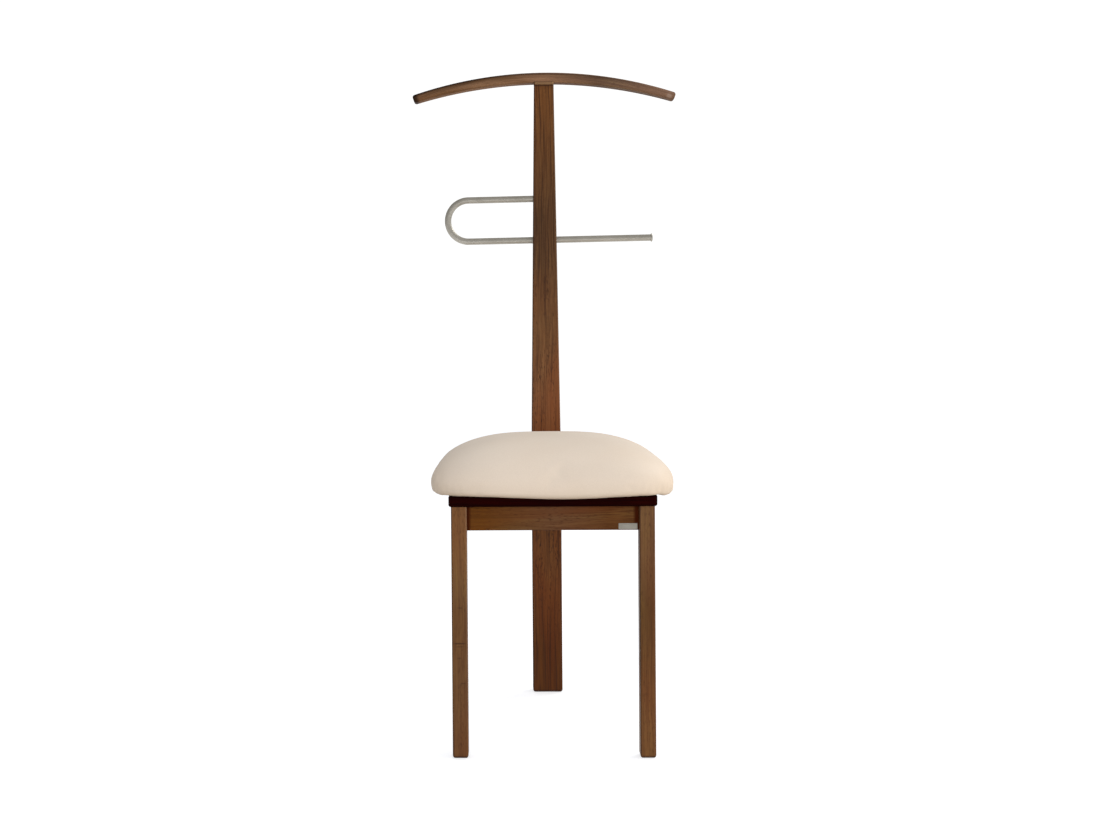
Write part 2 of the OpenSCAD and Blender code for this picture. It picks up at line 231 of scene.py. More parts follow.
def store(piece: Object, name: str, values: Iterable[float], kind: str = "FLOAT") -> None:
    """Stores a value on each point of a piece, for its material to read.

    Args:
        piece: the object.
        name: the attribute's name.
        values: all the numbers in one row.
        kind: FLOAT, or FLOAT_VECTOR with three numbers for each point.
    """
    attribute = piece.data.attributes.new(name, kind, "POINT")
    attribute.data.foreach_set("value" if kind == "FLOAT" else "vector", list(values))


def loft(name: str, rings: Sequence[Sequence[LoftPoint]]) -> Object:
    """Makes a closed solid through rings of the same number of points.

    Args:
        name: the object's name.
        rings: the rings in order, each with its points in the same order.

    Returns:
        The object, with each point's share of painted edge shade, or below 0 of painted highlight,
        stored as "arris".
    """
    count = len(rings[0])
    points = [point for ring in rings for point in ring]
    last = count * (len(rings) - 1)
    faces = [list(range(count))]
    for low in range(0, last, count):
        for i in range(count):
            j = (i + 1) % count
            faces.append([low + i, low + count + i, low + count + j, low + j])
    faces.append(list(range(last + count - 1, last - 1, -1)))
    piece = mesh_object(name, points, faces)
    store(piece, "arris", (p[3] for p in points))
    return piece


def rounded_rectangle(width: float, depth: float, radius: float, steps: int = 6) -> list[Point]:
    """Outlines a rectangle with rounded corners about the origin, anticlockwise.

    Args:
        width: its size along the first axis.
        depth: its size along the second axis.
        radius: the radius of its corners.
        steps: the number of steps round each corner.

    Returns:
        Two coordinates of each point, and how far it lies on the corner, from 0 to 1.
    """
    outline = []
    for quarter in range(4):
        side_a = 1 if quarter in (0, 3) else -1
        side_b = 1 if quarter < 2 else -1
        for i in range(steps + 1):
            angle = math.radians(90 * (quarter + i / steps))
            a = side_a * (width / 2 - radius) + radius * math.cos(angle)
            b = side_b * (depth / 2 - radius) + radius * math.sin(angle)
            outline.append((a, b, math.sin(math.pi * i / steps)))
    return outline


def rounding(radius: float, steps: int = 6) -> list[Point]:
    """Steps of a rounded edge, from the face that it starts on.

    Args:
        radius: the radius of the edge.
        steps: the number of steps round it.

    Returns:
        The inset, the height and the place on the edge, from 0 to 1, of each step.
    """
    made = []
    for i in range(steps + 1):
        angle = QUARTER * i / steps
        inset, height = radius * (1 - math.sin(angle)), radius * (1 - math.cos(angle))
        made.append((inset, height, math.sin(2 * angle)))
    return made


def upright(
    name: str,
    middle: tuple[float, float],
    size: tuple[float, float],
    edge: float,
    foot: float,
    tops: Iterable[tuple[float, float]],
) -> Object:
    """Lofts an upright timber with eased edges and a rounded foot.

    Its foot and its left edges take painted shade, and its right edges a faint painted highlight.

    Args:
        name: the object's name.
        middle: x and y of its middle.
        size: its width at the foot and its depth.
        edge: the radius of its long edges.
        foot: the radius of its foot.
        tops: each height at which its width changes or ends, with the width there.

    Returns:
        The object.
    """
    least_radius = 0.3 * MM
    edge_highlight = -0.2  # the painted highlight on the right edges, as a share below 0
    levels = [(size[0], *step) for step in rounding(foot)]
    levels += [(width, 0.0, height, -1.0) for height, width in tops]
    rings = []
    for width, inset, height, on_edge in levels:
        radius = max(edge - inset, least_radius)
        ring = []
        for a, b, arris in rounded_rectangle(width - 2 * inset, size[1] - 2 * inset, radius):
            edge_shade_share = max(on_edge, arris if a < 0 else edge_highlight * arris)
            ring.append((middle[0] + a, middle[1] + b, height, edge_shade_share))
        rings.append(ring)
    return loft(name, rings)


def lathe(
    name: str, profile: Sequence[tuple[float, float]], place: Matrix, segments: int = 48
) -> Object:
    """Turns a profile round the Z axis and puts it in its place.

    Args:
        name: the object's name.
        profile: radius and height of each point, from one end on the axis to the other.
        place: where the turned shape goes.
        segments: the number of steps round it.

    Returns:
        The closed solid.
    """
    points = [place @ Vector((0, 0, profile[0][1]))]
    for radius, height in profile[1:-1]:
        for i in range(segments):
            angle = 2 * math.pi * i / segments
            spot = Vector((radius * math.cos(angle), radius * math.sin(angle), height))
            points.append(place @ spot)
    points.append(place @ Vector((0, 0, profile[-1][1])))
    end = len(points) - 1
    faces = []
    for i in range(segments):
        j = (i + 1) % segments
        faces.append([0, 1 + j, 1 + i])
        for k in range(len(profile) - 3):
            low = 1 + k * segments
            faces.append([low + i, low + j, low + segments + j, low + segments + i])
        faces.append([end, end - segments + i, end - segments + j])
    return mesh_object(name, points, faces)


# ---- Finishes ----


def end_material(
    node: NodeMaker,
    colour: Node,
    rough: Node,
    relief: Node,
    bump: tuple[float, float],
    coat: dict[str, float],
) -> None:
    """Ends a material: its relief, its surface and its output.

    Args:
        node: the material's node maker.
        colour: the node with its colour.
        rough: the node with its roughness.
        relief: the node with its relief, from 0 to 1.
        bump: the strength of the relief and its height in metres.
        coat: the surface's other values, by name.
    """
    strength, height = bump
    raised = node("ShaderNodeBump", {"Strength": strength, "Distance": height, "Height": relief})
    inputs = {"Base Color": colour, "Roughness": rough, "Normal": raised, **coat}
    node("ShaderNodeOutputMaterial", (node("ShaderNodeBsdfPrincipled", inputs),))


class Slot(Enum):
    """The record's material slots, one named for each new piece."""

    WOOD = "walnut_wood"
    BOARD = "dark_board"
    COVER = "cream_cover"
    NICKEL = "satin_nickel"
    ZINC = "zinc_steel"


class Side(Enum):
    """Which side of the chair a piece is on, with the sign of its x."""

    LEFT = -1
    RIGHT = 1


class Grain(Enum):
    """Which way the grain of a wooden piece runs."""

    ALONG_X = "XZY"
    ALONG_Y = "YXZ"
    ALONG_Z = "ZXY"
    ALONG_ARC = "arc"


@dataclass(frozen=True)
class Mark:
    """A mark on the wood, such as a ray across the grain, a painted shadow or a painted highlight,
    in metres.
    """

    along: float
    start: float  # where it starts and ends across the piece
    end: float
    height: float  # its size along the grain
    depth: float  # how strong it is, from 0 to 1
    colour: str = ""  # nothing for the colour of the pores
    soft: float = 0.6  # the share of its half size over which it fades


@dataclass(frozen=True)
class StainedWood:
    """Close-grained hardwood under a stain and a thin satin lacquer.

    The stain gathers in the open pores, which stay as short dark dashes along the grain. The
    eased edges and inner corners carry painted shade, nearly black, and some edges a pale
    painted highlight. The lacquer is thin and satin, so that the wood keeps its own colour.
    """

    name: str
    grain: Grain
    shift: Point = (0.0, 0.0, 0.0)  # where in the tree it was cut: no two pieces look the same
    pale: str = "#6f4e2b"
    middle: str = "#5d3d22"
    deep: str = "#432813"
    blush: str = "#64361a"  # the redder colour of some stretches
    # The colour of the pores, also used for the painted shade on the eased edges
    pore_and_edge_shade: str = "#2b150a"
    corner_shade_colour: str = "#3e1400"  # painted shade in the inner corners
    edge_highlight_colour: str = "#b09a86"  # painted highlight on edges, where "arris" is below 0
    # Places along the grain in metres, in order, with the tint there
    drift: tuple[tuple[float, str], ...] = ()
    pores: float = 0.5  # the share of open pores
    # Places along the grain in metres, in order, with the share of those that are open there
    openings: tuple[tuple[float, float], ...] = ()
    corner: float = 9.0  # half the width between the corners that take painted shade
    corner_middle: float = 0.0  # the middle between them, from the chair's middle
    fibres: float = 0.3  # how dark the thin lines between the fibres are
    fine: float = 0.7  # the share of fine fibres in the tone, against broad streaks
    edges: float = 0.7  # how dark the painted shade is on the eased edges
    roughness: float = 0.4
    shine: float = 0.13  # the strength of the reflection, 0.5 for a full gloss coat
    marks: tuple[Mark, ...] = ()

    def material(self) -> Material:
        """Builds the material.

        Returns:
            The material.
        """
        made = bpy.data.materials.new(self.name)
        node = blank_tree(made)
        along = self.along_grain(node)
        parts = node("ShaderNodeSeparateXYZ", (along,))

        # Broad tone 14 mm wide, fibres 3 mm wide, hairlines 1.2 mm wide and stretches of
        # redder wood 50 mm wide, each far longer than it is wide
        broad = self.streaks(node, along, 190 * MM, 14 * MM, 2.0)
        fibre = self.streaks(node, along, 90 * MM, 3 * MM, 2.0)
        hair = self.streaks(node, along, 30 * MM, 1.2 * MM, 2.0)
        stretch = self.streaks(node, along, 220 * MM, 50 * MM, 1.0)
        fine = node("ShaderNodeMix", (0.45, fibre, hair))
        tone = node("ShaderNodeMix", (self.fine, broad, fine))
        ramp = node("ShaderNodeValToRGB", (tone,))
        ends = ramp.color_ramp.elements
        for end, spot, tint in zip(ends, (0.4, 0.6), (self.deep, self.pale)):
            end.position = spot
            end.color = linear(tint)
        ends.new(0.5).color = linear(self.middle)
        redder = node("ShaderNodeMapRange", (stretch, 0.44, 0.6, 0.0, 0.65))
        colour = node("ShaderNodeMix", (redder, ramp, linear(self.blush)), data_type="RGBA")
        if self.drift:
            stops = [(spot, linear(tint)) for spot, tint in self.drift]
            tint = self.drifting(node, parts, stops)
            colour = node(
                "ShaderNodeMix", (1.0, colour, tint), data_type="RGBA", blend_type="MULTIPLY"
            )

        # Thin dark lines between the fibres, 2.3 mm wide and 160 mm long
        lines = self.streaks(node, along, 160 * MM, 2.3 * MM, 1.0)
        lined = node("ShaderNodeMapRange", (lines, 0.52, 0.66, 0.0, self.fibres))

        # Pores 1.6 mm wide and 8 mm long, in loose bands. Real pores are a tenth of that, too
        # fine to show.
        dashes = self.streaks(node, along, 8 * MM, 1.6 * MM, 1.0)
        bands = self.streaks(node, along, 120 * MM, 12 * MM, 1.0)
        open_pores = node("ShaderNodeMapRange", (dashes, 0.56, 0.66, 0.0, 1.0))
        banded = node("ShaderNodeMapRange", (bands, 0.42, 0.6, 0.1, self.pores))
        pores = node("ShaderNodeMath", (open_pores, banded), operation="MULTIPLY")
        if self.openings:
            stops = [(spot, (share, share, share, 1.0)) for spot, share in self.openings]
            opened = self.drifting(node, parts, stops)
            pores = node("ShaderNodeMath", (pores, opened), operation="MULTIPLY")

        # Painted shade on the eased edges, a painted highlight on others, and painted shade in the
        # inner corners
        arris = node("ShaderNodeAttribute", attribute_name="arris").outputs["Fac"]
        edge_shade = node("ShaderNodeMapRange", (arris, 0.0, 1.0, 0.0, self.edges))
        edge_highlight = node("ShaderNodeMapRange", (arris, -1.0, 0.0, 1.0, 0.0))
        place = node("ShaderNodeTexCoord").outputs["Object"]
        sides = node("ShaderNodeSeparateXYZ", (place,))
        off = node("ShaderNodeMath", (sides, self.corner_middle), operation="SUBTRACT")
        aside = node("ShaderNodeMath", (off,), operation="ABSOLUTE")
        reached = self.corner + 4 * MM
        corner_shade = node("ShaderNodeMapRange", (aside, self.corner, reached, 0.0, 1.0))

        layers = [(lined, self.pore_and_edge_shade), (pores, self.pore_and_edge_shade)]
        layers += [(self.mask(node, parts, mark), mark.colour or self.pore_and_edge_shade) for mark in self.marks]
        layers += [(edge_shade, self.pore_and_edge_shade), (edge_highlight, self.edge_highlight_colour), (corner_shade, self.corner_shade_colour)]
        for share, tint in layers:
            colour = node("ShaderNodeMix", (share, colour, linear(tint)), data_type="RGBA")

        closed = node("ShaderNodeMapRange", (pores, 0.0, 1.0, 1.0, 0.0))
        relief = node("ShaderNodeMix", (0.6, hair, closed))
        ends_at = (self.roughness - 0.06, self.roughness + 0.08)
        rough = node("ShaderNodeMapRange", (fibre, 0.3, 0.7, *ends_at))
        coat = {"Specular IOR Level": self.shine, "IOR": 1.5}
        end_material(node, colour, rough, relief, (0.3, 0.2 * MM), coat)
        return made

    def along_grain(self, node: NodeMaker) -> Node:
        """Gives coordinates with the grain along X, gently waved, in metres.

        Args:
            node: the material's node maker.

        Returns:
            The node with the coordinates, moved by this wood's shift.
        """
        if self.grain is Grain.ALONG_ARC:
            turned = node("ShaderNodeAttribute", attribute_name="grain").outputs["Vector"]
        else:
            place = node("ShaderNodeTexCoord").outputs["Object"]
            parts = node("ShaderNodeSeparateXYZ", (place,)).outputs
            order = tuple(parts[axis] for axis in self.grain.value)
            turned = node("ShaderNodeCombineXYZ", order)
        moved = node("ShaderNodeVectorMath", (turned, self.shift), operation="ADD")
        wave = self.streaks(node, moved, 220 * MM, 50 * MM, 1.0)
        sway = node("ShaderNodeMapRange", (wave, 0.3, 0.7, -3 * MM, 3 * MM))
        aside = node("ShaderNodeCombineXYZ", {"Y": sway})
        return node("ShaderNodeVectorMath", (moved, aside), operation="ADD")

    @staticmethod
    def streaks(
        node: NodeMaker, place: Node, length: float, width: float, detail: float
    ) -> Node:
        """Adds a noise drawn out along the grain.

        Args:
            node: the material's node maker.
            place: coordinates with the grain along X.
            length: the length of a streak in metres.
            width: its width in metres.
            detail: the noise's detail.

        Returns:
            The node with the noise.
        """
        scale = (1 / length, 1 / width, 1 / width)
        drawn = node("ShaderNodeVectorMath", (place, scale), operation="MULTIPLY")
        return node(
            "ShaderNodeTexNoise",
            {"Vector": drawn, "Scale": 1.0, "Detail": detail, "Roughness": 0.55},
        )

    def drifting(
        self, node: NodeMaker, place: Node, stops: Sequence[tuple[float, Colour]]
    ) -> Node:
        """Gives a colour that drifts along the grain.

        Args:
            node: the material's node maker.
            place: the place along the grain, moved by this wood's shift.
            stops: places in metres, in order, with the colour at each.

        Returns:
            The node with the colour.
        """
        first, last = stops[0][0], stops[-1][0]
        reach = (first + self.shift[0], last + self.shift[0])
        ramp = node("ShaderNodeValToRGB", (node("ShaderNodeMapRange", (place, *reach, 0.0, 1.0)),))
        made = ramp.color_ramp.elements
        made[0].color = stops[0][1]
        made[1].color = stops[-1][1]
        for spot, colour in stops[1:-1]:
            made.new((spot - first) / (last - first)).color = colour
        return ramp

    def mask(self, node: NodeMaker, place: Node, mark: Mark) -> Node:
        """Gives the share of a mark.

        Args:
            node: the material's node maker.
            place: the separate coordinates with the grain along X.
            mark: the mark.

        Returns:
            The node with its share.
        """
        spans = (
            (mark.along, mark.height / 2),
            ((mark.start + mark.end) / 2, (mark.end - mark.start) / 2),
        )
        shares = []
        for axis, (centre, reach) in enumerate(spans):
            centre += self.shift[axis]
            off = node("ShaderNodeMath", (place.outputs[axis], centre), operation="SUBTRACT")
            size = node("ShaderNodeMath", (off,), operation="ABSOLUTE")
            core = reach * (1 - mark.soft)
            shares.append(node("ShaderNodeMapRange", (size, core, reach, mark.depth**0.5, 0.0)))
        return node("ShaderNodeMath", tuple(shares), operation="MULTIPLY")


@dataclass(frozen=True)
class SatinMetal:
    """Plated steel with a satin finish.

    The plating follows a blasted surface, so that it scatters reflections evenly, with faint
    cloudy differences in sheen and fine handling marks.
    """

    name: str
    colour: str
    shade: str  # where the plating is thinner
    roughness: float
    texture: float = 1.5 * MM  # drawn ten times coarser than a blasted surface, to show

    def material(self) -> Material:
        """Builds the material.

        Returns:
            The material.
        """
        made = bpy.data.materials.new(self.name)
        node = blank_tree(made)
        place = node("ShaderNodeTexCoord").outputs["Object"]
        clouds, grit = (
            node("ShaderNodeTexNoise", {"Vector": place, "Scale": 1 / size, "Detail": 2.0})
            for size in (30 * MM, self.texture)
        )
        ends = (self.roughness - 0.05, self.roughness + 0.05)
        rough = node("ShaderNodeMapRange", (clouds, 0.3, 0.7, *ends))
        thin = node("ShaderNodeMapRange", (clouds, 0.35, 0.65, 0.0, 1.0))
        tints = (linear(self.colour), linear(self.shade))
        colour = node("ShaderNodeMix", (thin, *tints), data_type="RGBA")
        end_material(node, colour, rough, grit, (0.008, 0.01 * MM), {"Metallic": 1.0})
        return made


@dataclass(frozen=True)
class Leatherette:
    """Cream leatherette: a textile with a matt coating that is embossed with a fine pebble.

    The pebble is about 1 mm, which breaks the sheen without showing from afar. Its creases
    carry a little painted shade, and the coating is cloudy where it is handled.
    """

    name: str = "cream_leatherette"
    colour: str = "#e0d0bb"
    shade: str = "#ccbba4"  # painted shade in the creases of the pebble
    handled: str = "#dcc9b1"  # in the cloudy patches
    pebble: float = 1.1 * MM
    roughness: float = 0.62

    def material(self) -> Material:
        """Builds the material.

        Returns:
            The material.
        """
        made = bpy.data.materials.new(self.name)
        node = blank_tree(made)
        place = node("ShaderNodeTexCoord").outputs["Object"]
        clouds, wrinkle = (
            node("ShaderNodeTexNoise", {"Vector": place, "Scale": 1 / size, "Detail": detail})
            for size, detail in ((110 * MM, 2.0), (3 * self.pebble, 3.0))
        )
        cells = node(
            "ShaderNodeTexVoronoi", {"Vector": place, "Scale": 1 / self.pebble}, feature="SMOOTH_F1"
        )
        pebbles = node("ShaderNodeMapRange", (cells, 0.15, 0.6, 1.0, 0.0))
        relief = node("ShaderNodeMix", (0.4, pebbles, wrinkle))
        cloudy = node("ShaderNodeMapRange", (clouds, 0.4, 0.65, 0.0, 0.45))
        crease_shade = node("ShaderNodeMapRange", (relief, 0.25, 0.5, 0.15, 0.0))
        colour = linear(self.colour)
        for share, tint in ((cloudy, self.handled), (crease_shade, self.shade)):
            colour = node("ShaderNodeMix", (share, colour, linear(tint)), data_type="RGBA")
        ends = (self.roughness - 0.05, self.roughness + 0.06)
        rough = node("ShaderNodeMapRange", (clouds, 0.3, 0.7, *ends))
        coat = {"Specular IOR Level": 0.25, "Sheen Weight": 0.04}
        end_material(node, colour, rough, relief, (0.15, 0.15 * MM), coat)
        return made


# Bare beech inside the frame: pale, dry and matt
PLAIN_BEECH = {
    "pale": "#d3b48c",
    "middle": "#c4a076",
    "deep": "#ad8660",
    "blush": "#c0936a",
    "pore_and_edge_shade": "#8a6544",
    "pores": 0.35,
    "roughness": 0.68,
    "shine": 0.2,
}
# Beech under a nearly black stain: its grain hardly shows and nothing shines
DARK_STAIN = {
    "pale": "#240302",
    "middle": "#1c0201",
    "deep": "#140101",
    "blush": "#200201",
    "pore_and_edge_shade": "#0b0101",
    "pores": 0.3,
    "roughness": 0.55,
    "shine": 0.015,
}
# Zinc-plated steel, a cool grey with more sheen than the nickel: colour, shade and roughness
ZINC = ("#b5b4ae", "#9c9b95", 0.34)


def rides(piece: Object, slot: Slot, material: Material, *nodes: str) -> None:
    """Finishes a new piece: its material, its body and the nodes that it stands for.

    Args:
        piece: the object.
        slot: the record's material slot; not used.
        material: the material.
        nodes: the frame's nodes that it replaces.
    """
    piece.data.materials.clear()
    piece.data.materials.append(material)
    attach(piece, BODY)
    if nodes:
        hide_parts(*nodes)
    log.info("%s: %d faces, for %s", piece.name, len(piece.data.polygons), nodes or "itself")


def dress(node: str, material: Material) -> None:
    """Gives a node of the frame, whose shape is right as it is, its material.

    Args:
        node: the node's name.
        material: the material.
    """
    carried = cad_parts[node]
    carried.data.materials.clear()
    carried.data.materials.append(material)
    log.info("%s: the frame's own shape", node)


# ---- Shapes made by rule: node trees ----


@dataclass
class ShapeTree:
    """A geometry tree with named inputs for its sizes, which ends in real, dressed meshes."""

    name: str
    sizes: dict[str, str]  # each input's name and socket type

    def __post_init__(self) -> None:
        """Makes the tree, with its inputs and its output."""
        self.tree = bpy.data.node_groups.new(self.name, "GeometryNodeTree")
        sides = {"Geometry": "NodeSocketGeometry", **self.sizes, "Material": "NodeSocketMaterial"}
        for label, kind in sides.items():
            self.tree.interface.new_socket(label, in_out="INPUT", socket_type=kind)
        self.tree.interface.new_socket(
            "Geometry", in_out="OUTPUT", socket_type="NodeSocketGeometry"
        )
        self.node: NodeMaker = partial(add_node, self.tree)
        self.given = self.node("NodeGroupInput").outputs

    def end(self, shape: Node) -> None:
        """Ends the tree: its instances made real, with their material.

        Args:
            shape: the node with the tree's shape.
        """
        real = self.node("GeometryNodeRealizeInstances", (shape,))
        inputs = {"Geometry": real, "Material": self.given["Material"]}
        self.node("NodeGroupOutput", (self.node("GeometryNodeSetMaterial", inputs),))

    def run(self, piece: Object, values: dict[str, object]) -> None:
        """Runs the tree on a piece and keeps the result as its plain mesh.

        Args:
            piece: the object that carries the tree's input geometry.
            values: a value for each named input.
        """
        modifier = piece.modifiers.new(self.name, "NODES")
        modifier.node_group = self.tree
        for item in self.tree.interface.items_tree:
            if item.item_type == "SOCKET" and item.in_out == "INPUT" and item.name in values:
                modifier[item.identifier] = values[item.name]
        bake_modifiers(piece)


# ---- Rear post, hanger and trouser bar ----


@dataclass
class TrouserBar:
    """The trouser bar: a tube bent to a U on its side, with a cap on its free end."""

    tube: float = 11 * MM
    bend: float = 35 * MM  # the radius on the centre line
    middle_z: float = 803.5 * MM
    tilt: float = 0.8  # the rise of its free end, in degrees from level
    middle_y: float = 185 * MM
    left: float = 169.5 * MM  # the post's middle to the outside of the bend
    right: float = 179.5 * MM  # the post's middle to the free end
    inside_post: float = -4.1 * MM  # where the upper run ends
    cap: float = 14 * MM
    cap_head: float = 3 * MM
    cap_rim: float = 1.2 * MM
    plug: tuple[float, float] = (8.9 * MM, 10 * MM)  # the cap's plug: diameter and length

    def run_heights(self) -> tuple[float, float]:
        """Gives the heights of the upper and the lower run, before the tilt."""
        return self.middle_z + self.bend, self.middle_z - self.bend

    def turn(self) -> Matrix:
        """Gives the tilt, about the middle of the post."""
        pivot = Matrix.Translation((0, self.middle_y, self.middle_z))
        return pivot @ Matrix.Rotation(math.radians(-self.tilt), 4, "Y") @ pivot.inverted()

    @staticmethod
    def tube_tree() -> ShapeTree:
        """Builds the tree that rounds a path's corners and draws the tube along it.

        Returns:
            The tree.
        """
        whole, real = "NodeSocketInt", "NodeSocketFloat"
        sizes = {"Bend radius": real, "Bend steps": whole, "Tube radius": real, "Tube sides": whole}
        tree = ShapeTree("bent_tube", sizes)
        node, given = tree.node, tree.given
        path = node("GeometryNodeMeshToCurve", (given["Geometry"],))
        bends = {"Curve": path, "Radius": given["Bend radius"], "Count": given["Bend steps"]}
        bent = node("GeometryNodeFilletCurve", bends, mode="POLY")
        circle = {"Resolution": given["Tube sides"], "Radius": given["Tube radius"]}
        section = node("GeometryNodeCurvePrimitiveCircle", circle)
        sweep = {"Curve": bent, "Profile Curve": section, "Fill Caps": True}
        swept = node("GeometryNodeCurveToMesh", sweep)
        tree.end(node("GeometryNodeMergeByDistance", {"Geometry": swept, "Distance": HAIR}))
        return tree

    def build(self) -> None:
        """Makes the tube and its cap."""
        nickel = SatinMetal("satin_nickel_plate", "#b1aca1", "#aaa59a", 0.5).material()
        outside = -self.left + self.tube / 2
        upper, lower = self.run_heights()
        corners_x = (self.inside_post, outside, outside, self.right)
        corners = zip(corners_x, (upper, upper, lower, lower))
        turn = self.turn()
        path = [turn @ Vector((x, self.middle_y, z)) for x, z in corners]
        tube = mesh_object("trouser_bar_tube", path, edges=[(0, 1), (1, 2), (2, 3)])
        values = {
            "Bend radius": self.bend - HAIR,  # so that the two bends don't quite meet
            "Bend steps": 20,
            "Tube radius": self.tube / 2,
            "Tube sides": 48,
            "Material": nickel,
        }
        self.tube_tree().run(tube, values)
        outwards(tube.data)
        for piece, node in ((tube, "trouser_bar"), (self.end_cap(), "trouser_bar_cap")):
            smooth_with_sharps(piece, 40)
            rides(piece, Slot.NICKEL, nickel, node)

    def end_cap(self) -> Object:
        """Makes the cap: a plug, a rim with a softened edge and a shallow dome.

        Returns:
            The cap, in its place.
        """
        soft = 0.35 * MM
        shoulder = 0.2 * MM
        steps = 10
        rim = self.cap / 2
        plug = self.plug[0] / 2
        profile = [(0.0, -self.plug[1]), (plug, -self.plug[1]), (plug, 0.0), (rim - soft, 0.0)]
        profile += [(rim - inset, height) for inset, height, _ in rounding(soft, 4)]
        profile.append((rim, self.cap_rim - soft))
        for i in range(steps):
            angle = QUARTER * i / steps
            rise = (self.cap_head - self.cap_rim) * math.sin(angle)
            profile.append(((rim - shoulder) * math.cos(angle), self.cap_rim + rise))
        profile.append((0.0, self.cap_head))
        end = Matrix.Translation((self.right, self.middle_y, self.run_heights()[1]))
        place = self.turn() @ end @ Matrix.Rotation(QUARTER, 4, "Y")
        return lathe("trouser_bar_end_cap", profile, place)


@dataclass
class RearPost:
    """The rear post, one plank from the floor to the hanger, tapered above the seat."""

    bar: TrouserBar
    width: float = 50 * MM
    top_width: float = 33 * MM
    thickness: float = 24 * MM
    middle_y: float = 185 * MM
    taper_z: float = 400 * MM  # where the taper starts
    taper_end_z: float = 1033 * MM  # the hanger's underside, where the top width is reached
    top_z: float = 1033.3 * MM  # its top end, let into the hanger
    edge: float = 2 * MM
    foot: float = 5.5 * MM
    bolt_z: tuple[float, float] = (345 * MM, 315 * MM)
    bolt_sink: tuple[float, float] = (14 * MM, 3 * MM)  # diameter and depth
    lock_sink: tuple[float, float] = (7.1 * MM, 2 * MM)
    bar_gap: float = 0.1 * MM  # how much wider the bar's holes are than its tube
    bar_stop: float = 15 * MM  # how deep the upper run goes in

    def width_at(self, z: float) -> float:
        """Gives the post's width at a height on its taper."""
        share = (z - self.taper_z) / (self.taper_end_z - self.taper_z)
        return self.width + (self.top_width - self.width) * share

    def drills(self) -> bmesh.types.BMesh:
        """Makes the holes for the bar and the sinks for the bolts and the lock screw.

        Returns:
            The shape that is cut out of the plank.
        """
        half_post = self.width / 2
        upper, lower = self.bar.run_heights()
        upper_end = -self.width_at(upper) / 2 + self.bar_stop
        turn = self.bar.turn()
        cylinders = []
        for z, start, end in ((upper, -half_post, upper_end), (lower, -half_post, half_post)):
            place = Matrix.Translation(((start + end) / 2, self.middle_y, z))
            along = turn @ place @ Matrix.Rotation(QUARTER, 4, "Y")
            cylinders.append((self.bar.tube + self.bar_gap, end - start, along))
        sinks = [(self.bolt_sink, z, Matrix.Identity(4)) for z in self.bolt_z]
        sinks.append((self.lock_sink, lower, turn))
        for (diameter, depth), z, turned in sinks:
            place = turned @ Matrix.Translation((0, self.middle_y + self.thickness / 2, z))
            cylinders.append((diameter, 2 * depth, place @ Matrix.Rotation(QUARTER, 4, "X")))
        shape = bmesh.new()
        for diameter, length, place in cylinders:
            ends = {"cap_ends": True, "radius1": diameter / 2, "radius2": diameter / 2}
            bmesh.ops.create_cone(shape, segments=48, depth=length, matrix=place, **ends)
        return shape

    def joint_marks(self) -> tuple[Mark, ...]:
        """Gives the marks of the joint: the hanger's colour, a painted shadow line, a soft painted
        shadow.

        Returns:
            The soft painted shadow, the hanger's colour painted over the post's top, and the
            painted shadow line below it.
        """
        side = 60 * MM
        shade = 5.3 * MM  # how far below the hanger's underside the painted shadow line lies
        line_z = self.taper_end_z - shade
        return (
            Mark(line_z - 2 * MM, -side, side, 13 * MM, 0.16, "#22100a"),
            Mark(line_z + shade, -side, side, 8 * MM, 1.0, "#816243", 0.15),
            Mark(line_z, -side, side, 3.6 * MM, 0.62, "#1e0d05", 0.5),
        )

    def build(self) -> None:
        """Makes the post, drilled and dressed."""
        post = upright(
            "rear_post_plank",
            (0.0, self.middle_y),
            (self.width, self.thickness),
            self.edge,
            self.foot,
            [(z, self.width_at(z)) for z in (self.taper_z, self.top_z)],
        )
        cut_out(post, self.drills())
        smooth_with_sharps(post)
        wood = StainedWood(
            "post_stained_beech",
            Grain.ALONG_Z,
            shift=(0.31, 0.04, 0.02),
            pale="#835836",
            middle="#764b2c",
            deep="#653f22",
            blush="#7a4321",
            drift=(
                (0.07, "#b7a179"),
                (0.27, "#faf2d8"),
                (0.5, "#fbfdfd"),
                (0.62, "#e1ebe5"),
                (0.8, "#b1bab7"),
                (1.0, "#e6e1c0"),
            ),
            pores=0.8,
            fibres=0.6,
            openings=((0.05, 0.2), (0.15, 0.8), (0.25, 1.0), (0.66, 0.9), (0.76, 0.4), (1.0, 0.4)),
            fine=0.88,
            marks=self.joint_marks(),
        )
        rides(post, Slot.WOOD, wood.material(), "rear_post")


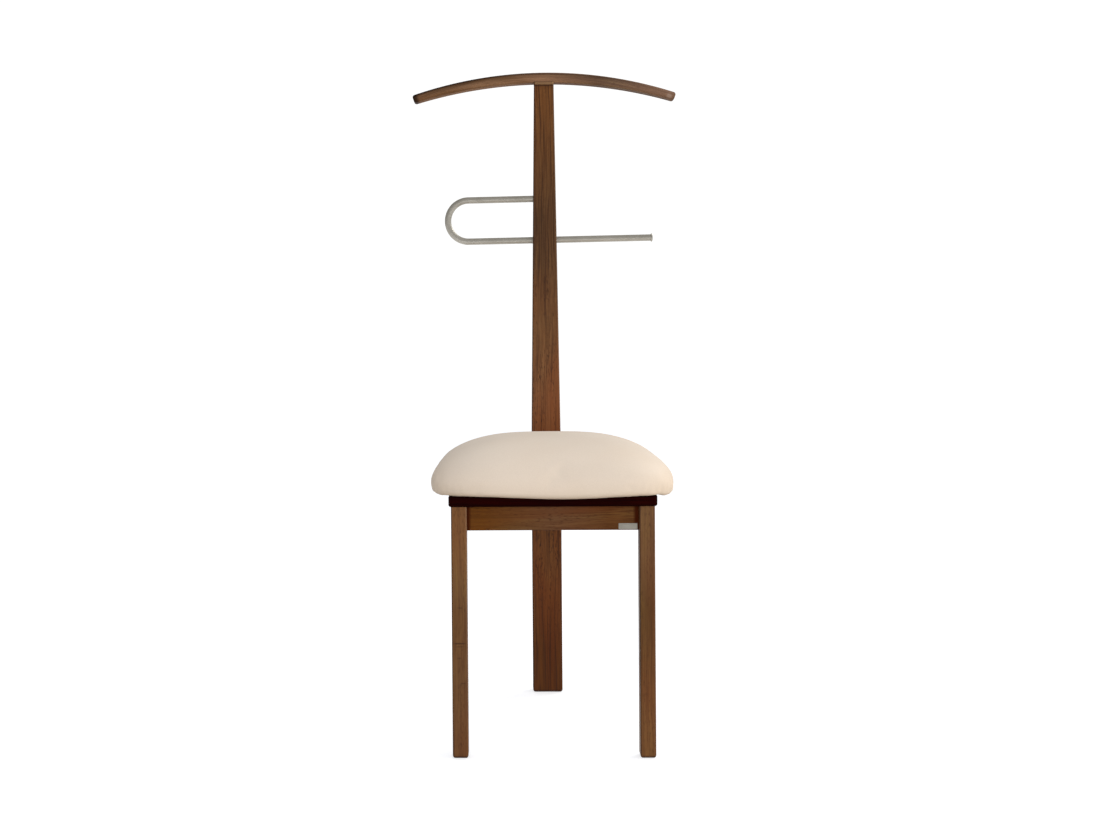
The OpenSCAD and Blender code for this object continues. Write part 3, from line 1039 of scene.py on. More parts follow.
@dataclass
class Hanger:
    """The arched hanger, thicker in the middle, with rounded edges and tips."""

    width: float = 444 * MM
    top_z: float = 1050 * MM  # the crown of its upper arc
    top_radius: float = 704 * MM
    middle_height: float = 17 * MM
    tip_height: float = 14 * MM
    depth: float = 24 * MM
    middle_y: float = 185 * MM
    edge: float = 5 * MM
    tip: float = 4 * MM
    shy: float = 0.1 * MM  # each tip stays back from the frame's, which has fewer steps
    steps: int = 96
    fade: float = 80 * MM  # the width over which the painted shade on its top turns into a painted highlight
    least_radius: float = 0.5 * MM  # of its section, at the tips
    # The share of painted shade on its edges: at most, in its middle and on its tips. It gets
    # thinner to the right by the next two shares for each metre, the second one near its end.
    most_shade: float = 0.9
    middle_shade: float = 0.68
    tip_shade: float = 0.4
    thinning: tuple[float, float] = (1.6, 5.0)
    shade_end: float = 200 * MM

    def arcs(self, x: float) -> tuple[float, float]:
        """Gives the heights of its arcs.

        Args:
            x: the place along it, from its middle.

        Returns:
            The heights of the upper and the lower arc.
        """
        half = self.width / 2
        sag = self.top_radius - math.sqrt(self.top_radius**2 - half**2)
        under_sag = sag - self.middle_height + self.tip_height
        under_radius = (half**2 + under_sag**2) / (2 * under_sag)
        upper = self.top_z - self.top_radius + math.sqrt(self.top_radius**2 - x * x)
        lower_crown = self.top_z - self.middle_height
        lower = lower_crown - under_radius + math.sqrt(under_radius**2 - x * x)
        return upper, lower

    @staticmethod
    def edge_shading(rise: float, left: float) -> float:
        """Gives the painted shade at a point of the section.

        Args:
            rise: the place on the upper rounding, from 0 at its start to 1 at the top.
            left: 1 on the left half, where the painted shade covers the top too, and 0 on the
                right half, where it lies on the front of the rounding and the top has a painted
                highlight.

        Returns:
            The share of painted shade, up to 1, or of painted highlight, below 0.
        """
        if rise < -0.01:
            return 0.0
        at_start = 0.45  # the left half's painted shade where the rounding starts
        fullest, spread = 0.35, 0.45  # where the right half's painted shade is fullest, and its reach
        # Where the painted highlight on the right half's top starts, and its most
        highlight_from, most_highlight = 0.75, 0.6
        edge_shade_share = clamped(1.3 - abs(rise - fullest) / spread)
        highlight = most_highlight * max(rise - highlight_from, 0) / (1 - highlight_from)
        return left * min(at_start + rise, 1) + (1 - left) * (edge_shade_share - highlight)

    def ring(self, x: float, inset: float, on_edge: float) -> list[LoftPoint]:
        """Gives the rounded section at a place along the hanger, square to its arc.

        Args:
            x: the place along it, from its middle.
            inset: how much smaller the section is, near a tip.
            on_edge: how far it lies on a tip's rounding, from 0 to 1.

        Returns:
            The section's points.
        """
        upper, lower = self.arcs(x)
        lean = math.asin(x / self.top_radius)
        height = (upper - lower) * math.cos(lean)
        radius = max(self.edge - inset, self.least_radius)
        start = height / 2 - inset - radius
        left = clamped(0.5 - x / self.fade)
        slow, fast = self.thinning
        ending = fast * (self.shade_end - x)
        depth = min(self.most_shade, self.middle_shade - slow * x, ending)
        ring = []
        for a, b, _ in rounded_rectangle(self.depth - 2 * inset, height - 2 * inset, radius, 8):
            edge_shade_share = depth * self.edge_shading((b - start) / radius, left)
            z = (upper + lower) / 2 + b * math.cos(lean)
            if on_edge:
                edge_shade_share = max(self.tip_shade * on_edge, edge_shade_share)
            ring.append((x + b * math.sin(lean), self.middle_y + a, z, edge_shade_share))
        return ring

    def arch(self) -> Object:
        """Lofts the hanger and stores its grain, which follows the arc.

        Returns:
            The object.
        """
        half = self.width / 2
        reach = half - (self.tip_height / 2 - self.tip) * half / self.top_radius - self.shy
        tips = rounding(self.tip)
        inner = reach - self.tip
        rings = [self.ring(-reach + h, inset, on_edge) for inset, h, on_edge in tips]
        rings += [self.ring(inner * (2 * i / self.steps - 1), 0, 0) for i in range(1, self.steps)]
        rings += [self.ring(reach - h, inset, on_edge) for inset, h, on_edge in reversed(tips)]
        hanger = loft("hanger_arch", rings)
        grain = []
        centre_z = self.top_z - self.top_radius
        for vertex in hanger.data.vertices:
            x, y, z = vertex.co
            out = math.hypot(x, z - centre_z)
            grain += [self.top_radius * math.atan2(x, z - centre_z), out - self.top_radius, y]
        store(hanger, "grain", grain, "FLOAT_VECTOR")
        return hanger

    def build(self) -> None:
        """Makes the hanger, dressed."""
        hanger = self.arch()
        smooth_with_sharps(hanger, 40)
        wood = StainedWood(
            "hanger_stained_beech",
            Grain.ALONG_ARC,
            shift=(1.7, 0.6, 0.0),
            pale="#a58160",
            middle="#927059",
            deep="#7a5a42",
            blush="#986a4f",
            pore_and_edge_shade="#1c0e06",
            # The blue-grey tint at the right end is a painted highlight
            drift=(
                (-0.16, "#e8e3d1"),
                (-0.07, "#f9f7ea"),
                (0.0, "#fffaf0"),
                (0.09, "#bdbcba"),
                (0.19, "#dbe8f2"),
            ),
            pores=0.2,
            fine=0.5,
            fibres=0.15,
            edges=0.95,
            roughness=0.5,
            shine=0.04,
            marks=(
                # Painted shade on the left tip, and a painted highlight on the right tip
                Mark(-0.225, -40 * MM, 20 * MM, 18 * MM, 0.8, "#160d07"),
                Mark(0.217, -11 * MM, -3 * MM, 11 * MM, 0.35, "#b8a291"),
            ),
        )
        rides(hanger, Slot.WOOD, wood.material(), "hanger_bar")


# ---- Seat frame ----


@dataclass
class FrontLeg:
    """A square front leg with eased edges and a rounded foot."""

    side: Side
    width: float = 22.5 * MM
    height: float = 360 * MM
    middle_x: float = 133.75 * MM
    middle_y: float = -155.75 * MM
    edge: float = 2 * MM
    foot: float = 5 * MM

    def drifts(self) -> tuple[tuple[float, str], ...]:
        """Gives the leg's own drift of tint, from the foot up.

        Returns:
            Heights in metres and their tints.
        """
        if self.side is Side.LEFT:
            return (0.06, "#e7e4e9"), (0.21, "#ddd7d5"), (0.29, "#faffff")
        return (0.06, "#f0e4dc"), (0.21, "#cac3ac"), (0.29, "#e3e2eb")

    def marks(self) -> tuple[Mark, ...]:
        """Gives the dark marks across the left leg.

        Returns:
            The marks, or none for the right leg.
        """
        # Height, start and end across the leg, size along it and strength
        rows = (
            (216, 5, 14, 2.2, 0.5),
            (165, -2, 20, 2.6, 0.7),
            (160.5, 2, 17, 1.8, 0.5),
            (144, 5, 12, 2, 0.4),
            (108, 10, 20, 2.2, 0.4),
        )
        left = -self.middle_x - self.width / 2
        return tuple(
            Mark(z * MM, left + start * MM, left + end * MM, size * MM, depth)
            for z, start, end, size, depth in rows
            if self.side is Side.LEFT
        )

    def build(self) -> None:
        """Makes the leg, dressed."""
        name = self.side.name.lower()
        leg = upright(
            f"front_leg_{name}_timber",
            (self.side.value * self.middle_x, self.middle_y),
            (self.width, self.width),
            self.edge,
            self.foot,
            [(self.height, self.width)],
        )
        smooth_with_sharps(leg)
        wood = StainedWood(
            f"leg_{name}_stained_beech",
            Grain.ALONG_Z,
            shift=(0.7 + 0.9 * self.side.value, 0.1, 0.3),
            pale="#825f35",
            middle="#785431",
            deep="#694626",
            blush="#754727",
            drift=self.drifts(),
            pores=0.38,
            fibres=0.16,
            marks=self.marks(),
        )
        rides(leg, Slot.WOOD, wood.material(), f"front_leg_{name}")


@dataclass
class SeatBoard:
    """The dark board under the cushion, with rounded edges."""

    width: float = 297 * MM
    depth: float = 343.5 * MM
    front_y: float = -170.5 * MM
    bottom_z: float = 360 * MM
    thickness: float = 16 * MM
    edge: float = 3 * MM
    corner: float = 6 * MM

    def build(self) -> None:
        """Makes the board, dressed."""
        steps = rounding(self.edge)
        levels = steps + [(i, self.thickness - h, on_edge) for i, h, on_edge in reversed(steps)]
        middle = self.front_y + self.depth / 2
        rings = []
        for inset, height, on_edge in levels:
            size = (self.width - 2 * inset, self.depth - 2 * inset)
            outline = rounded_rectangle(*size, self.corner - inset)
            # The share on the rounded edges goes to painted shade
            rings.append([(a, middle + b, self.bottom_z + height, on_edge) for a, b, _ in outline])
        board = loft("seat_board_panel", rings)
        smooth_with_sharps(board)
        wood = StainedWood("board_dark_stain", Grain.ALONG_X, shift=(0.4, 1.1, 0.6), **DARK_STAIN)
        rides(board, Slot.BOARD, wood.material(), "seat_board")


@dataclass
class FrameScrews:
    """The pan-head screws under the seat, one tree for all eight."""

    head: float = 8 * MM
    head_height: float = 2.5 * MM
    head_edge: float = 1.6 * MM  # the radius of the head's edge
    head_flat: float = 0.45  # the share of the head that is quite flat
    shank: tuple[float, float] = (4 * MM, 12 * MM)  # diameter, and length over the head
    cross: Point = (1.1 * MM, 4.4 * MM, 1.4 * MM)  # the recess: width, length and depth
    # Each set: x on either side and z, and its two places front to back
    board_screws: tuple[float, float] = (109.75 * MM, 330 * MM)
    board_screws_y: tuple[float, float] = (-127.5 * MM, 138 * MM)
    cushion_screws: tuple[float, float] = (80 * MM, 360 * MM)
    cushion_screws_y: tuple[float, float] = (-110 * MM, 80 * MM)

    def master(self) -> Object:
        """Makes one screw, head down, with its head's seat at the origin.

        Returns:
            The screw.
        """
        rim = self.head / 2
        shank, length = self.shank[0] / 2, self.shank[1]
        profile = [(0.0, -self.head_height), (rim * self.head_flat, -self.head_height)]
        profile += [(rim - i, -self.head_height + h) for i, h, _ in rounding(self.head_edge)]
        profile += [(rim, 0.0), (shank, 0.0), (shank, length), (0.0, length)]
        screw = lathe("screw_master", profile, Matrix.Identity(4), 32)
        driver = bmesh.new()
        width, length, depth = self.cross
        for size in ((width, length), (length, width)):
            block = Matrix.Diagonal((*size, 2 * depth, 1))
            place = Matrix.Translation((0, 0, -self.head_height)) @ block
            bmesh.ops.create_cube(driver, size=1, matrix=place)
        cut_out(screw, driver, crossing=True)
        return screw

    @staticmethod
    def screw_tree() -> ShapeTree:
        """Builds the tree that sets a screw on each point, each turned its own way.

        Returns:
            The tree.
        """
        tree = ShapeTree("set_screws", {"Screw": "NodeSocketObject", "Seed": "NodeSocketInt"})
        node, given = tree.node, tree.given
        screw = node("GeometryNodeObjectInfo", {"Object": given["Screw"]}).outputs["Geometry"]
        turns = {0: (0.0, 0.0, 0.0), 1: (0.0, 0.0, math.tau), "Seed": given["Seed"]}
        turn = node("FunctionNodeRandomValue", turns, data_type="FLOAT_VECTOR")
        places = {"Points": given["Geometry"], "Instance": screw, "Rotation": turn}
        tree.end(node("GeometryNodeInstanceOnPoints", places))
        return tree

    def build(self) -> None:
        """Sets the screws, one piece for each node that they replace."""
        zinc = SatinMetal("zinc_plate", *ZINC).material()
        master = self.master()
        tree = self.screw_tree()
        rows = (
            ("board_screws", self.board_screws, self.board_screws_y),
            ("cushion_screws", self.cushion_screws, self.cushion_screws_y),
        )
        for seed, (node, (x, z), places_y) in enumerate(rows):
            spots = [(side * x, y, z) for side in (-1, 1) for y in places_y]
            piece = mesh_object(f"{node}_set", spots)
            tree.run(piece, {"Screw": master, "Seed": seed, "Material": zinc})
            smooth_with_sharps(piece, 35)
            rides(piece, Slot.ZINC, zinc, node)
        bpy.data.objects.remove(master)


@dataclass
class LabelPlate:
    """The small bare metal plate on the front rail, at its right end."""

    width: float = 27 * MM
    height: float = 8.6 * MM
    thickness: float = 0.5 * MM
    middle_x: float = 107.2 * MM
    bottom_z: float = 326.2 * MM
    rail_y: float = -158.5 * MM  # the front face of the rail that it is glued to
    corner: float = 0.8 * MM
    edge: float = 0.15 * MM

    def build(self) -> None:
        """Makes the plate, with a softened front edge."""
        softened = reversed(rounding(self.edge, 3))
        levels = [(0.0, 0.0)] + [(i, self.thickness - h) for i, h, _ in softened]
        middle_z = self.bottom_z + self.height / 2
        rings = []
        for inset, out in levels:
            size = (self.width - 2 * inset, self.height - 2 * inset)
            outline = rounded_rectangle(*size, self.corner - inset, 4)
            y = self.rail_y - out
            rings.append([(self.middle_x + a, y, middle_z + b, 0.0) for a, b, _ in outline])
        plate = loft("label_plate", rings)
        smooth_with_sharps(plate)
        metal = SatinMetal("brushed_plate", "#948f84", "#8a857b", 0.34, 1 * MM)
        rides(plate, Slot.NICKEL, metal.material())


def dress_frame() -> None:
    """Gives the frame's own rails, blocks, dowels, bolts and nuts their finishes."""
    rails = {
        # The last value is where the painted shade in the rail's inner corners, beside the legs,
        # starts; 1.0 puts it out of reach
        "front_rail": (Grain.ALONG_X, (0.2, 0.9, 0.0), 115 * MM),
        "side_rail_left": (Grain.ALONG_Y, (0.5, 0.3, 0.7), 1.0),
        "side_rail_right": (Grain.ALONG_Y, (0.9, 0.8, 0.1), 1.0),
        "rear_rail": (Grain.ALONG_X, (1.3, 0.2, 0.4), 1.0),
    }
    for node, (grain, shift, corner) in rails.items():
        wood = StainedWood(
            f"{node}_stained_beech",
            grain,
            shift=shift,
            corner=corner,
            corner_middle=-1 * MM,
            pale="#79593c",
            middle="#6b4a32",
            deep="#573925",
            blush="#744227",
            drift=((-0.1, "#e9e496"), (0.0, "#f0ffff"), (0.08, "#ecd9b0")),
            shine=0.04,
        )
        dress(node, wood.material())
    plain = {
        "front_corner_blocks": Grain.ALONG_X,
        "rear_corner_blocks": Grain.ALONG_X,
        "hanger_dowels": Grain.ALONG_Z,
        "frame_dowels": Grain.ALONG_Y,
        "cushion_base": Grain.ALONG_X,
    }
    for node, grain in plain.items():
        dress(node, StainedWood(f"{node}_bare_beech", grain, **PLAIN_BEECH).material())
    zinc = SatinMetal("zinc_plate_bolts", *ZINC).material()
    for node in ("bar_lock_screw", "post_bolts", "sleeve_nuts"):
        dress(node, zinc)


# ---- Cushion ----


# The skin as cloth: hard to stretch, easy to bend
SKIN = {
    "quality": 8,
    "mass": 0.4,
    "tension_stiffness": 20,
    "compression_stiffness": 20,
    "shear_stiffness": 10,
    "bending_stiffness": 2,
    "use_pressure": True,
}


@dataclass
class Cushion:
    """The padded seat: foam on plywood under one skin of leatherette.

    Its plan is a rounded square that shrinks up the crown and draws in to the board. The skin
    is blown up a little by a cloth simulation from a slightly smaller form.
    """

    half_x: float = 179.3 * MM
    half_y: float = 182 * MM
    middle_x: float = 0.7 * MM  # the swollen skin sits a little to the right
    middle_y: float = -15 * MM
    base_z: float = 376 * MM  # the top of the board that it lies on
    belly: float = 19 * MM  # the height of its widest level above the board
    height: float = 79 * MM
    plan_power: float = 5.0  # the squareness of its plan
    crown_power: float = 1.5  # how flat the crown is
    shoulder_power: float = 2.7  # how square the shoulder is
    under_power: float = 3.0  # how square the lower edge is
    draw_in: float = 8 * MM  # how far the skin draws in under the belly
    steps: tuple[int, int] = (12, 40)  # rings below and above the belly
    peak: float = 0.02  # the last ring's size against the belly's
    start_inset: float = 4 * MM  # how much smaller the simulation starts
    voxel: float = 5 * MM
    pressure: float = 4.0
    frames: int = 20
    held: float = 3 * MM  # how far above the board the skin is held while it swells
    most_move: float = 6 * MM  # the most that a point may move
    evening: tuple[float, int] = (0.5, 4)  # how the swollen skin is evened: factor and rounds
    flat: float = 0.5 * MM  # what is lower than this above the board is laid flat
    clear: float = 0.2 * MM  # how far above the board the flat underside lies
    # The board's front and side edges, past which the skin hangs free by the next sizes: near
    # the middle of the front, at the right corner and at the left one
    board_front: float = -170.5 * MM
    board_side: float = 148.5 * MM
    sag: float = 4.2 * MM
    sag_x: float = 15 * MM
    sag_width: float = 85 * MM
    right_sag: float = 5.5 * MM
    right_sag_from: float = 120 * MM
    left_sag: float = 2.2 * MM
    left_sag_from: float = 148 * MM
    fade: float = 10 * MM  # the distance over which a sag sets in
    sag_depth: float = 140 * MM  # how far in front of the middle the sag is full
    lift: float = 0.8 * MM  # how much higher it lies elsewhere
    fold: float = 0.15 * MM  # the depth of the gathers at the corners
    folds: int = 120  # how many would go all round

    def plan(self, half_x: float, half_y: float, z: float, count: int = 120) -> list[Point]:
        """Gives a ring of the cushion's plan at a height.

        Args:
            half_x: half the ring's width.
            half_y: half its depth.
            z: its height.
            count: the number of its points.

        Returns:
            The points.
        """
        ring = []
        power = 2 / self.plan_power
        for i in range(count):
            c, s = math.cos(math.tau * i / count), math.sin(math.tau * i / count)
            x = half_x * math.copysign(abs(c) ** power, c)
            y = half_y * math.copysign(abs(s) ** power, s)
            ring.append((x, self.middle_y + y, z))
        return ring

    def form(self, name: str, inset: float) -> Object:
        """Lofts the cushion's closed form.

        Args:
            name: the object's name.
            inset: how much smaller it is all round.

        Returns:
            The object.
        """
        belly_z = self.base_z + self.belly
        crown = self.height - self.belly - inset
        below, above = self.steps
        power = 2 / self.under_power
        rings = []
        for i in range(below + 1):
            angle = QUARTER * i / below
            drawn = inset + self.draw_in * (1 - math.sin(angle) ** power)
            z = belly_z - self.belly * abs(math.cos(angle)) ** power
            rings.append(self.plan(self.half_x - drawn, self.half_y - drawn, z))
        for i in range(1, above + 1):
            scale = self.peak + (1 - self.peak) * math.cos(QUARTER * i / above) ** 0.8
            rise = (1 - scale**self.shoulder_power) ** (1 / self.crown_power)
            half_x, half_y = (half * scale - inset * scale for half in (self.half_x, self.half_y))
            rings.append(self.plan(half_x, half_y, belly_z + crown * rise))
        return loft(name, [[(*point, 0.0) for point in ring] for ring in rings])

    def swell(self, pad: Object) -> None:
        """Blows the skin up with a cloth simulation, held where it lies on the board.

        Args:
            pad: the cushion.
        """
        remesh = pad.modifiers.new("even_mesh", "REMESH")
        remesh.mode = "VOXEL"
        remesh.voxel_size = self.voxel
        bake_modifiers(pad)
        start = [vertex.co.copy() for vertex in pad.data.vertices]
        low = self.base_z + self.held
        on_board = pad.vertex_groups.new(name="on_board")
        on_board.add([i for i, p in enumerate(start) if p.z < low], 1.0, "REPLACE")
        cloth = pad.modifiers.new("swell", "CLOTH")
        for name, value in SKIN.items():
            setattr(cloth.settings, name, value)
        cloth.settings.uniform_pressure_force = self.pressure
        cloth.settings.effector_weights.gravity = 0
        cloth.settings.vertex_group_mass = on_board.name
        cloth.point_cache.frame_start = 1
        cloth.point_cache.frame_end = self.frames
        scene = bpy.context.scene
        for number in range(1, self.frames + 1):
            scene.frame_set(number)
        bake_modifiers(pad)
        scene.frame_set(1)
        pad.vertex_groups.clear()
        far = 0.0
        for vertex, rest in zip(pad.data.vertices, start):
            move = vertex.co - rest
            far = max(far, move.length)
            if move.length > self.most_move:
                vertex.co = rest + move * (self.most_move / move.length)
        log.info("cushion: the skin moved %.1f mm at most before its cap", far / MM)
        even = pad.modifiers.new("even", "SMOOTH")
        even.factor, even.iterations = self.evening
        bake_modifiers(pad)
        self.stretch(pad)

    def stretch(self, pad: Object) -> None:
        """Stretches the swollen skin to the cushion's own width, depth and height.

        Args:
            pad: the cushion.
        """
        spots = [vertex.co for vertex in pad.data.vertices]
        low = Vector(min(spot[axis] for spot in spots) for axis in range(3))
        high = Vector(max(spot[axis] for spot in spots) for axis in range(3))
        middle = (low + high) / 2
        to_x = 2 * self.half_x / (high.x - low.x)
        to_y = 2 * self.half_y / (high.y - low.y)
        to_z = self.height / (high.z - self.base_z)
        for vertex in pad.data.vertices:
            x, y, z = vertex.co
            vertex.co = (
                self.middle_x + (x - middle.x) * to_x,
                self.middle_y + (y - middle.y) * to_y,
                self.base_z + (z - self.base_z) * to_z,
            )

    def drop(self, x: float) -> float:
        """Gives how much lower the skin hangs in front of the board.

        Args:
            x: the place along the front, from the chair's middle.

        Returns:
            The distance down.
        """
        middle = self.sag * math.exp(-(((x - self.sag_x) / self.sag_width) ** 2))
        share = clamped((x - self.right_sag_from) / (self.half_x - self.right_sag_from))
        right = self.right_sag * share * share * (3 - 2 * share)
        left = clamped((-x - self.left_sag_from) / self.fade)
        return middle + right + self.left_sag * left - self.lift

    def settle(self, pad: Object) -> None:
        """Lays the underside flat, lets the front hang and gathers the skin at the corners.

        Args:
            pad: the cushion.
        """
        for vertex in pad.data.vertices:
            x, y, z = vertex.co
            if z < self.base_z + self.flat:
                z = self.base_z + self.clear
            level = (z - self.base_z) / self.belly
            if level < 1:
                beyond = max(self.board_front - y, abs(x) - self.board_side)
                near = clamped((self.middle_y - y) / self.sag_depth)
                z -= self.drop(x) * clamped(beyond / self.fade) * near * (1 - level)
            vertex.co.z = z
            if 0.05 < level < 1:
                angle = math.atan2(y - self.middle_y, x)
                corner = max(0.0, math.cos(4 * (angle - math.pi / 4))) ** 2
                fold = math.cos(angle * self.folds) * corner * math.sin(math.pi * level)
                out = Vector((x, y - self.middle_y, 0)).normalized()
                vertex.co += out * (self.fold * fold)

    def build(self) -> None:
        pad = self.form("cushion_skin", self.start_inset)
        self.swell(pad)
        finer = pad.modifiers.new("finer", "SUBSURF")
        finer.levels = finer.render_levels = 1
        bake_modifiers(pad)
        self.settle(pad)
        pad.data.shade_smooth()
        rides(pad, Slot.COVER, Leatherette().material(), "cushion_cover", "cushion_foam")


@dataclass
class HemStaples:
    """The staples that hold the skin's hem to the plywood, where the board leaves it bare."""

    cushion: Cushion
    inset: float = 18 * MM  # the row's distance in from the belly
    spacing: float = 15 * MM
    bare_from: float = 153 * MM  # past this, from the middle, the board doesn't cover them
    crown: Point = (9 * MM, 1.1 * MM, 0.6 * MM)  # length, width and height

    @staticmethod
    def row_tree() -> ShapeTree:
        """Builds the tree that sets staples along a row.

        Returns:
            The tree.
        """
        real = "NodeSocketFloat"
        sizes = {"Spacing": real, "Bare from": real, "Crown": "NodeSocketVector"}
        tree = ShapeTree("staple_row", sizes)
        node, given = tree.node, tree.given
        row = node("GeometryNodeMeshToCurve", (given["Geometry"],))
        spacing = {"Curve": row, "Length": given["Spacing"]}
        spots = node("GeometryNodeCurveToPoints", spacing, mode="LENGTH").outputs
        parts = node("ShaderNodeSeparateXYZ", (node("GeometryNodeInputPosition"),))
        aside = node("ShaderNodeMath", (parts,), operation="ABSOLUTE")
        covered = node("ShaderNodeMath", (aside, given["Bare from"]), operation="LESS_THAN")
        chosen = {"Geometry": spots["Points"], "Selection": covered}
        bare = node("GeometryNodeDeleteGeometry", chosen)
        turned = node("FunctionNodeAlignRotationToVector", {"Vector": spots["Tangent"]}, axis="X")
        staple = node("GeometryNodeMeshCube", {"Size": given["Crown"]})
        places = {"Points": bare, "Instance": staple, "Rotation": turned}
        tree.end(node("GeometryNodeInstanceOnPoints", places))
        return tree

    def build(self) -> None:
        """Makes the two rows."""
        pad = self.cushion
        ring = pad.plan(pad.half_x - self.inset, pad.half_y - self.inset, pad.base_z, 240)
        edges = [(i, (i + 1) % len(ring)) for i in range(len(ring))]
        staples = mesh_object("hem_staples", ring, edges=edges)
        wire = SatinMetal("staple_wire", "#b3b1aa", "#8f8d86", 0.4).material()
        values = {
            "Spacing": self.spacing,
            "Bare from": self.bare_from,
            "Crown": self.crown,
            "Material": wire,
        }
        self.row_tree().run(staples, values)
        rides(staples, Slot.ZINC, wire)


# ---- Studio ----


@dataclass
class Softbox:
    """A square area lamp that points at the chair."""

    name: str
    place: Point
    side: float
    power: float  # in watts
    colour: str = "#ffffff"
    mirrored: bool = False  # whether reflections show it, and not the even wall in its place

    def build(self, target: Vector) -> None:
        """Hangs the lamp.

        Args:
            target: what it points at.
        """
        lamp = bpy.data.lights.new(self.name, "AREA")
        lamp.shape = "SQUARE"
        lamp.size = self.side
        lamp.energy = self.power
        lamp.color = linear(self.colour)[:3]
        hung = new_object(self.name, lamp)
        hung.visible_glossy = self.mirrored
        hung.location = self.place
        hung.rotation_euler = (target - Vector(self.place)).to_track_quat("-Z", "Y").to_euler()


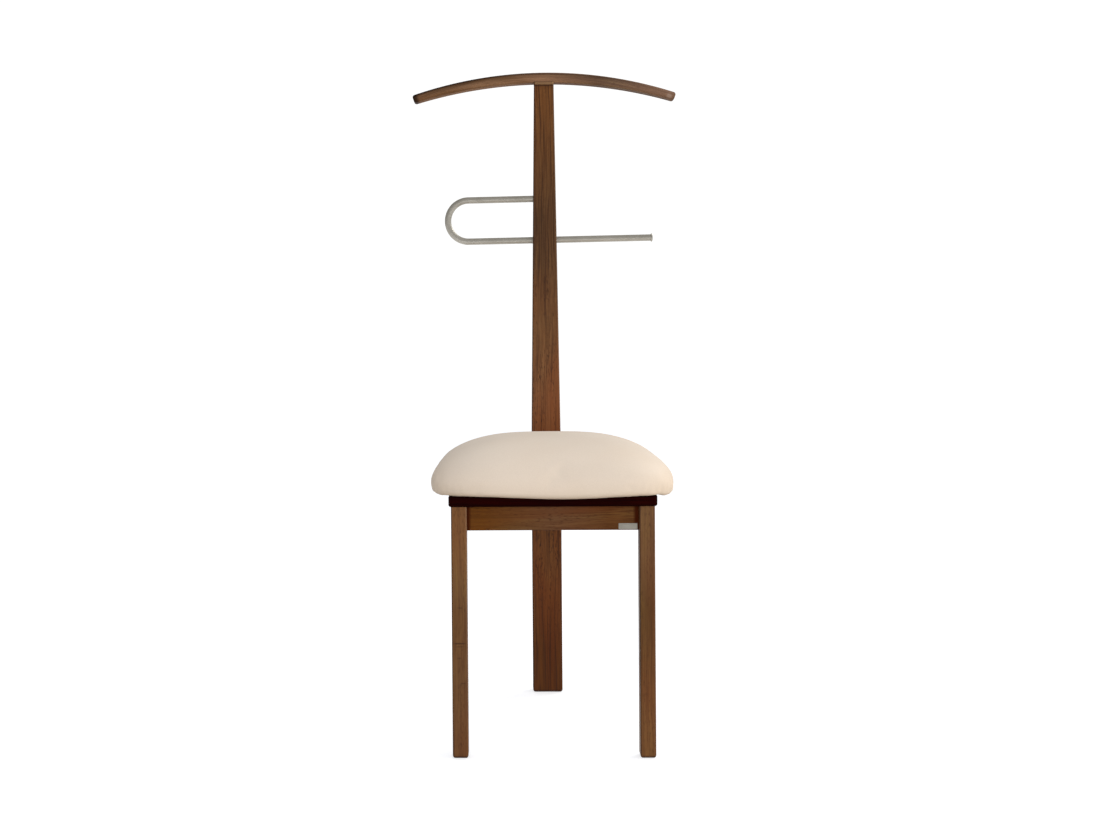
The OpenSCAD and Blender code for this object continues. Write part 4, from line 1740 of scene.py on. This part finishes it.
@dataclass
class Studio:
    """The photograph's camera, and a white floor and background in soft light.

    The camera's place and lens come from a fit to the chair's straight edges, in millimetres
    and in pixels of a picture 1100 wide and 824 high.
    """

    place: Point = (-53.44 * MM, -1923.27 * MM, 586.08 * MM)
    yaw: float = 0.0195  # how far it looks to the left, in radians as the next two
    pitch: float = -0.0163  # how far it looks up
    roll: float = 0.0076  # how far it leans clockwise
    focal: float = 1238.49  # in pixels
    centre: tuple[float, float] = (490.0, 368.0)  # the pixel on the lens's axis
    picture: tuple[int, int] = (1100, 824)
    sensor: float = 36.0  # in millimetres
    ambient: tuple[float, float] = (0.38, 0.85)  # the even light from low down and from above
    ambient_low: float = -0.2  # the height of a direction up to which it is the lower one
    bright_side: Point = (0.8, -0.2, 0.2)  # the direction of the studio's brighter wall
    walls: tuple[float, float] = (0.48, 0.86)  # the opposite wall and this one, in reflections
    walls_at: tuple[float, float] = (-0.35, 0.8)  # each wall's dot product with that direction
    white: float = 1.06  # the background to look at, a little over white
    floor_side: float = 8.0  # half the floor's width
    floor_z: float = -0.2 * MM
    floor_glow: float = 0.64  # what lifts the lit floor to white, to look at
    target: Point = (0.0, 0.0, 500 * MM)  # what the lamps point at

    def camera(self) -> None:
        """Sets the camera up as it stood for the photograph."""
        width, height = self.picture
        lens = bpy.data.cameras.new("photograph_view")
        lens.sensor_fit = "HORIZONTAL"
        lens.sensor_width = self.sensor
        lens.lens = self.focal / width * self.sensor
        lens.shift_x = (width / 2 - self.centre[0]) / width
        lens.shift_y = (self.centre[1] - height / 2) / width
        ahead_flat = Vector((-math.sin(self.yaw), math.cos(self.yaw), 0))
        right_flat = Vector((math.cos(self.yaw), math.sin(self.yaw), 0))
        ahead = ahead_flat * math.cos(self.pitch) + Vector((0, 0, math.sin(self.pitch)))
        up_level = Vector((0, 0, math.cos(self.pitch))) - ahead_flat * math.sin(self.pitch)
        right = right_flat * math.cos(self.roll) - up_level * math.sin(self.roll)
        up = right_flat * math.sin(self.roll) + up_level * math.cos(self.roll)
        stand = new_object("photograph_view", lens)
        turn = Matrix((right, up, -ahead)).transposed().to_4x4()
        stand.matrix_world = Matrix.Translation(self.place) @ turn
        bpy.context.scene.camera = stand

    @staticmethod
    def seen_directly(node: NodeMaker) -> Node:
        """Gives 1 for what the camera, a reflection or a clear surface sees, else 0.

        Args:
            node: the tree's node maker.

        Returns:
            The node with the value.
        """
        path = node("ShaderNodeLightPath").outputs
        seen = path["Is Camera Ray"]
        for other in ("Is Glossy Ray", "Is Transmission Ray"):
            seen = node("ShaderNodeMath", (seen, path[other]), operation="MAXIMUM")
        return seen

    def brightness(self, node: NodeMaker) -> Node:
        """Gives the background's brightness: a little over 1 to look at, less in reflections.

        The studio's bright side is on the right and in front, so that edges that turn to the
        left, and sides that are seen at a flat angle, reflect a dimmer wall.

        Args:
            node: the world's node maker.

        Returns:
            The node with the brightness.
        """
        way = node("ShaderNodeTexCoord").outputs["Generated"]
        towards = node("ShaderNodeVectorMath", (way, self.bright_side), operation="DOT_PRODUCT")
        wall = node("ShaderNodeMapRange", (towards, *self.walls_at, *self.walls))
        direct = node("ShaderNodeLightPath").outputs["Is Camera Ray"]
        white = node("ShaderNodeMapRange", (direct, 0.0, 1.0, 0.0, self.white))
        return node("ShaderNodeMath", (white, wall), operation="MAXIMUM")

    def background(self) -> None:
        """Makes the world: white to look at, and an even light from all round."""
        world = bpy.data.worlds.new("white_studio")
        node = blank_tree(world)
        way = node("ShaderNodeTexCoord").outputs["Generated"]
        height = node("ShaderNodeSeparateXYZ", (way,)).outputs["Z"]
        even = node("ShaderNodeMapRange", (height, self.ambient_low, 1.0, *self.ambient))
        light = node("ShaderNodeBackground", (linear("#f4f7ff"), even))
        white = node("ShaderNodeBackground", (linear("#ffffff"), self.brightness(node)))
        both = node("ShaderNodeMixShader", (self.seen_directly(node), light, white))
        node("ShaderNodeOutputWorld", (both,))
        bpy.context.scene.world = world

    def floor(self) -> None:
        """Makes the floor: white to look at, with the chair's soft shadow, clear from below."""
        corners = ((-1, -1), (1, -1), (1, 1), (-1, 1))
        points = [(a * self.floor_side, b * self.floor_side, self.floor_z) for a, b in corners]
        floor = mesh_object("floor", points, [(0, 1, 2, 3)])
        material = bpy.data.materials.new("white_floor")
        node = blank_tree(material)
        lit = node("ShaderNodeBsdfDiffuse", (linear("#b8ae9f"),))
        shadowed = node("ShaderNodeBsdfDiffuse", (linear("#cbcbcb"),))
        glow = node("ShaderNodeEmission", (linear("#ffffff"), self.floor_glow))
        seen = node("ShaderNodeAddShader", (shadowed, glow))
        above = node("ShaderNodeMixShader", (self.seen_directly(node), lit, seen))
        from_below = node("ShaderNodeNewGeometry").outputs["Backfacing"]
        clear = node("ShaderNodeBsdfTransparent")
        shown = node("ShaderNodeMixShader", (from_below, above, clear))
        node("ShaderNodeOutputMaterial", (shown,))
        floor.data.materials.append(material)

    def build(self) -> None:
        """Sets up the whole studio."""
        bpy.context.scene.view_settings.view_transform = "Standard"
        self.camera()
        self.background()
        self.floor()
        lamps = (
            Softbox("key_right", (2.7, -0.72, 0.65), 1.5, 34, "#fff5ea"),
            Softbox("fill_front", (0.0, -2.8, 0.65), 1.6, 37, "#f1f4ff"),
            Softbox("rim_right", (1.5, 1.2, 2.1), 0.9, 20, mirrored=True),
        )
        for lamp in lamps:
            lamp.build(Vector(self.target))


def main() -> None:
    """Builds the chair and its studio, in order."""
    logging.basicConfig(level=logging.INFO, format="%(name)s: %(message)s")
    Studio().build()
    dress_frame()
    bar = TrouserBar()
    cushion = Cushion()
    parts = (
        bar,
        RearPost(bar),
        Hanger(),
        *(FrontLeg(side) for side in Side),
        SeatBoard(),
        FrameScrews(),
        LabelPlate(),
        cushion,
        HemStaples(cushion),
    )
    for part in parts:
        log.info("building %s", type(part).__name__)
        part.build()


if __name__ == "__main__":
    main()
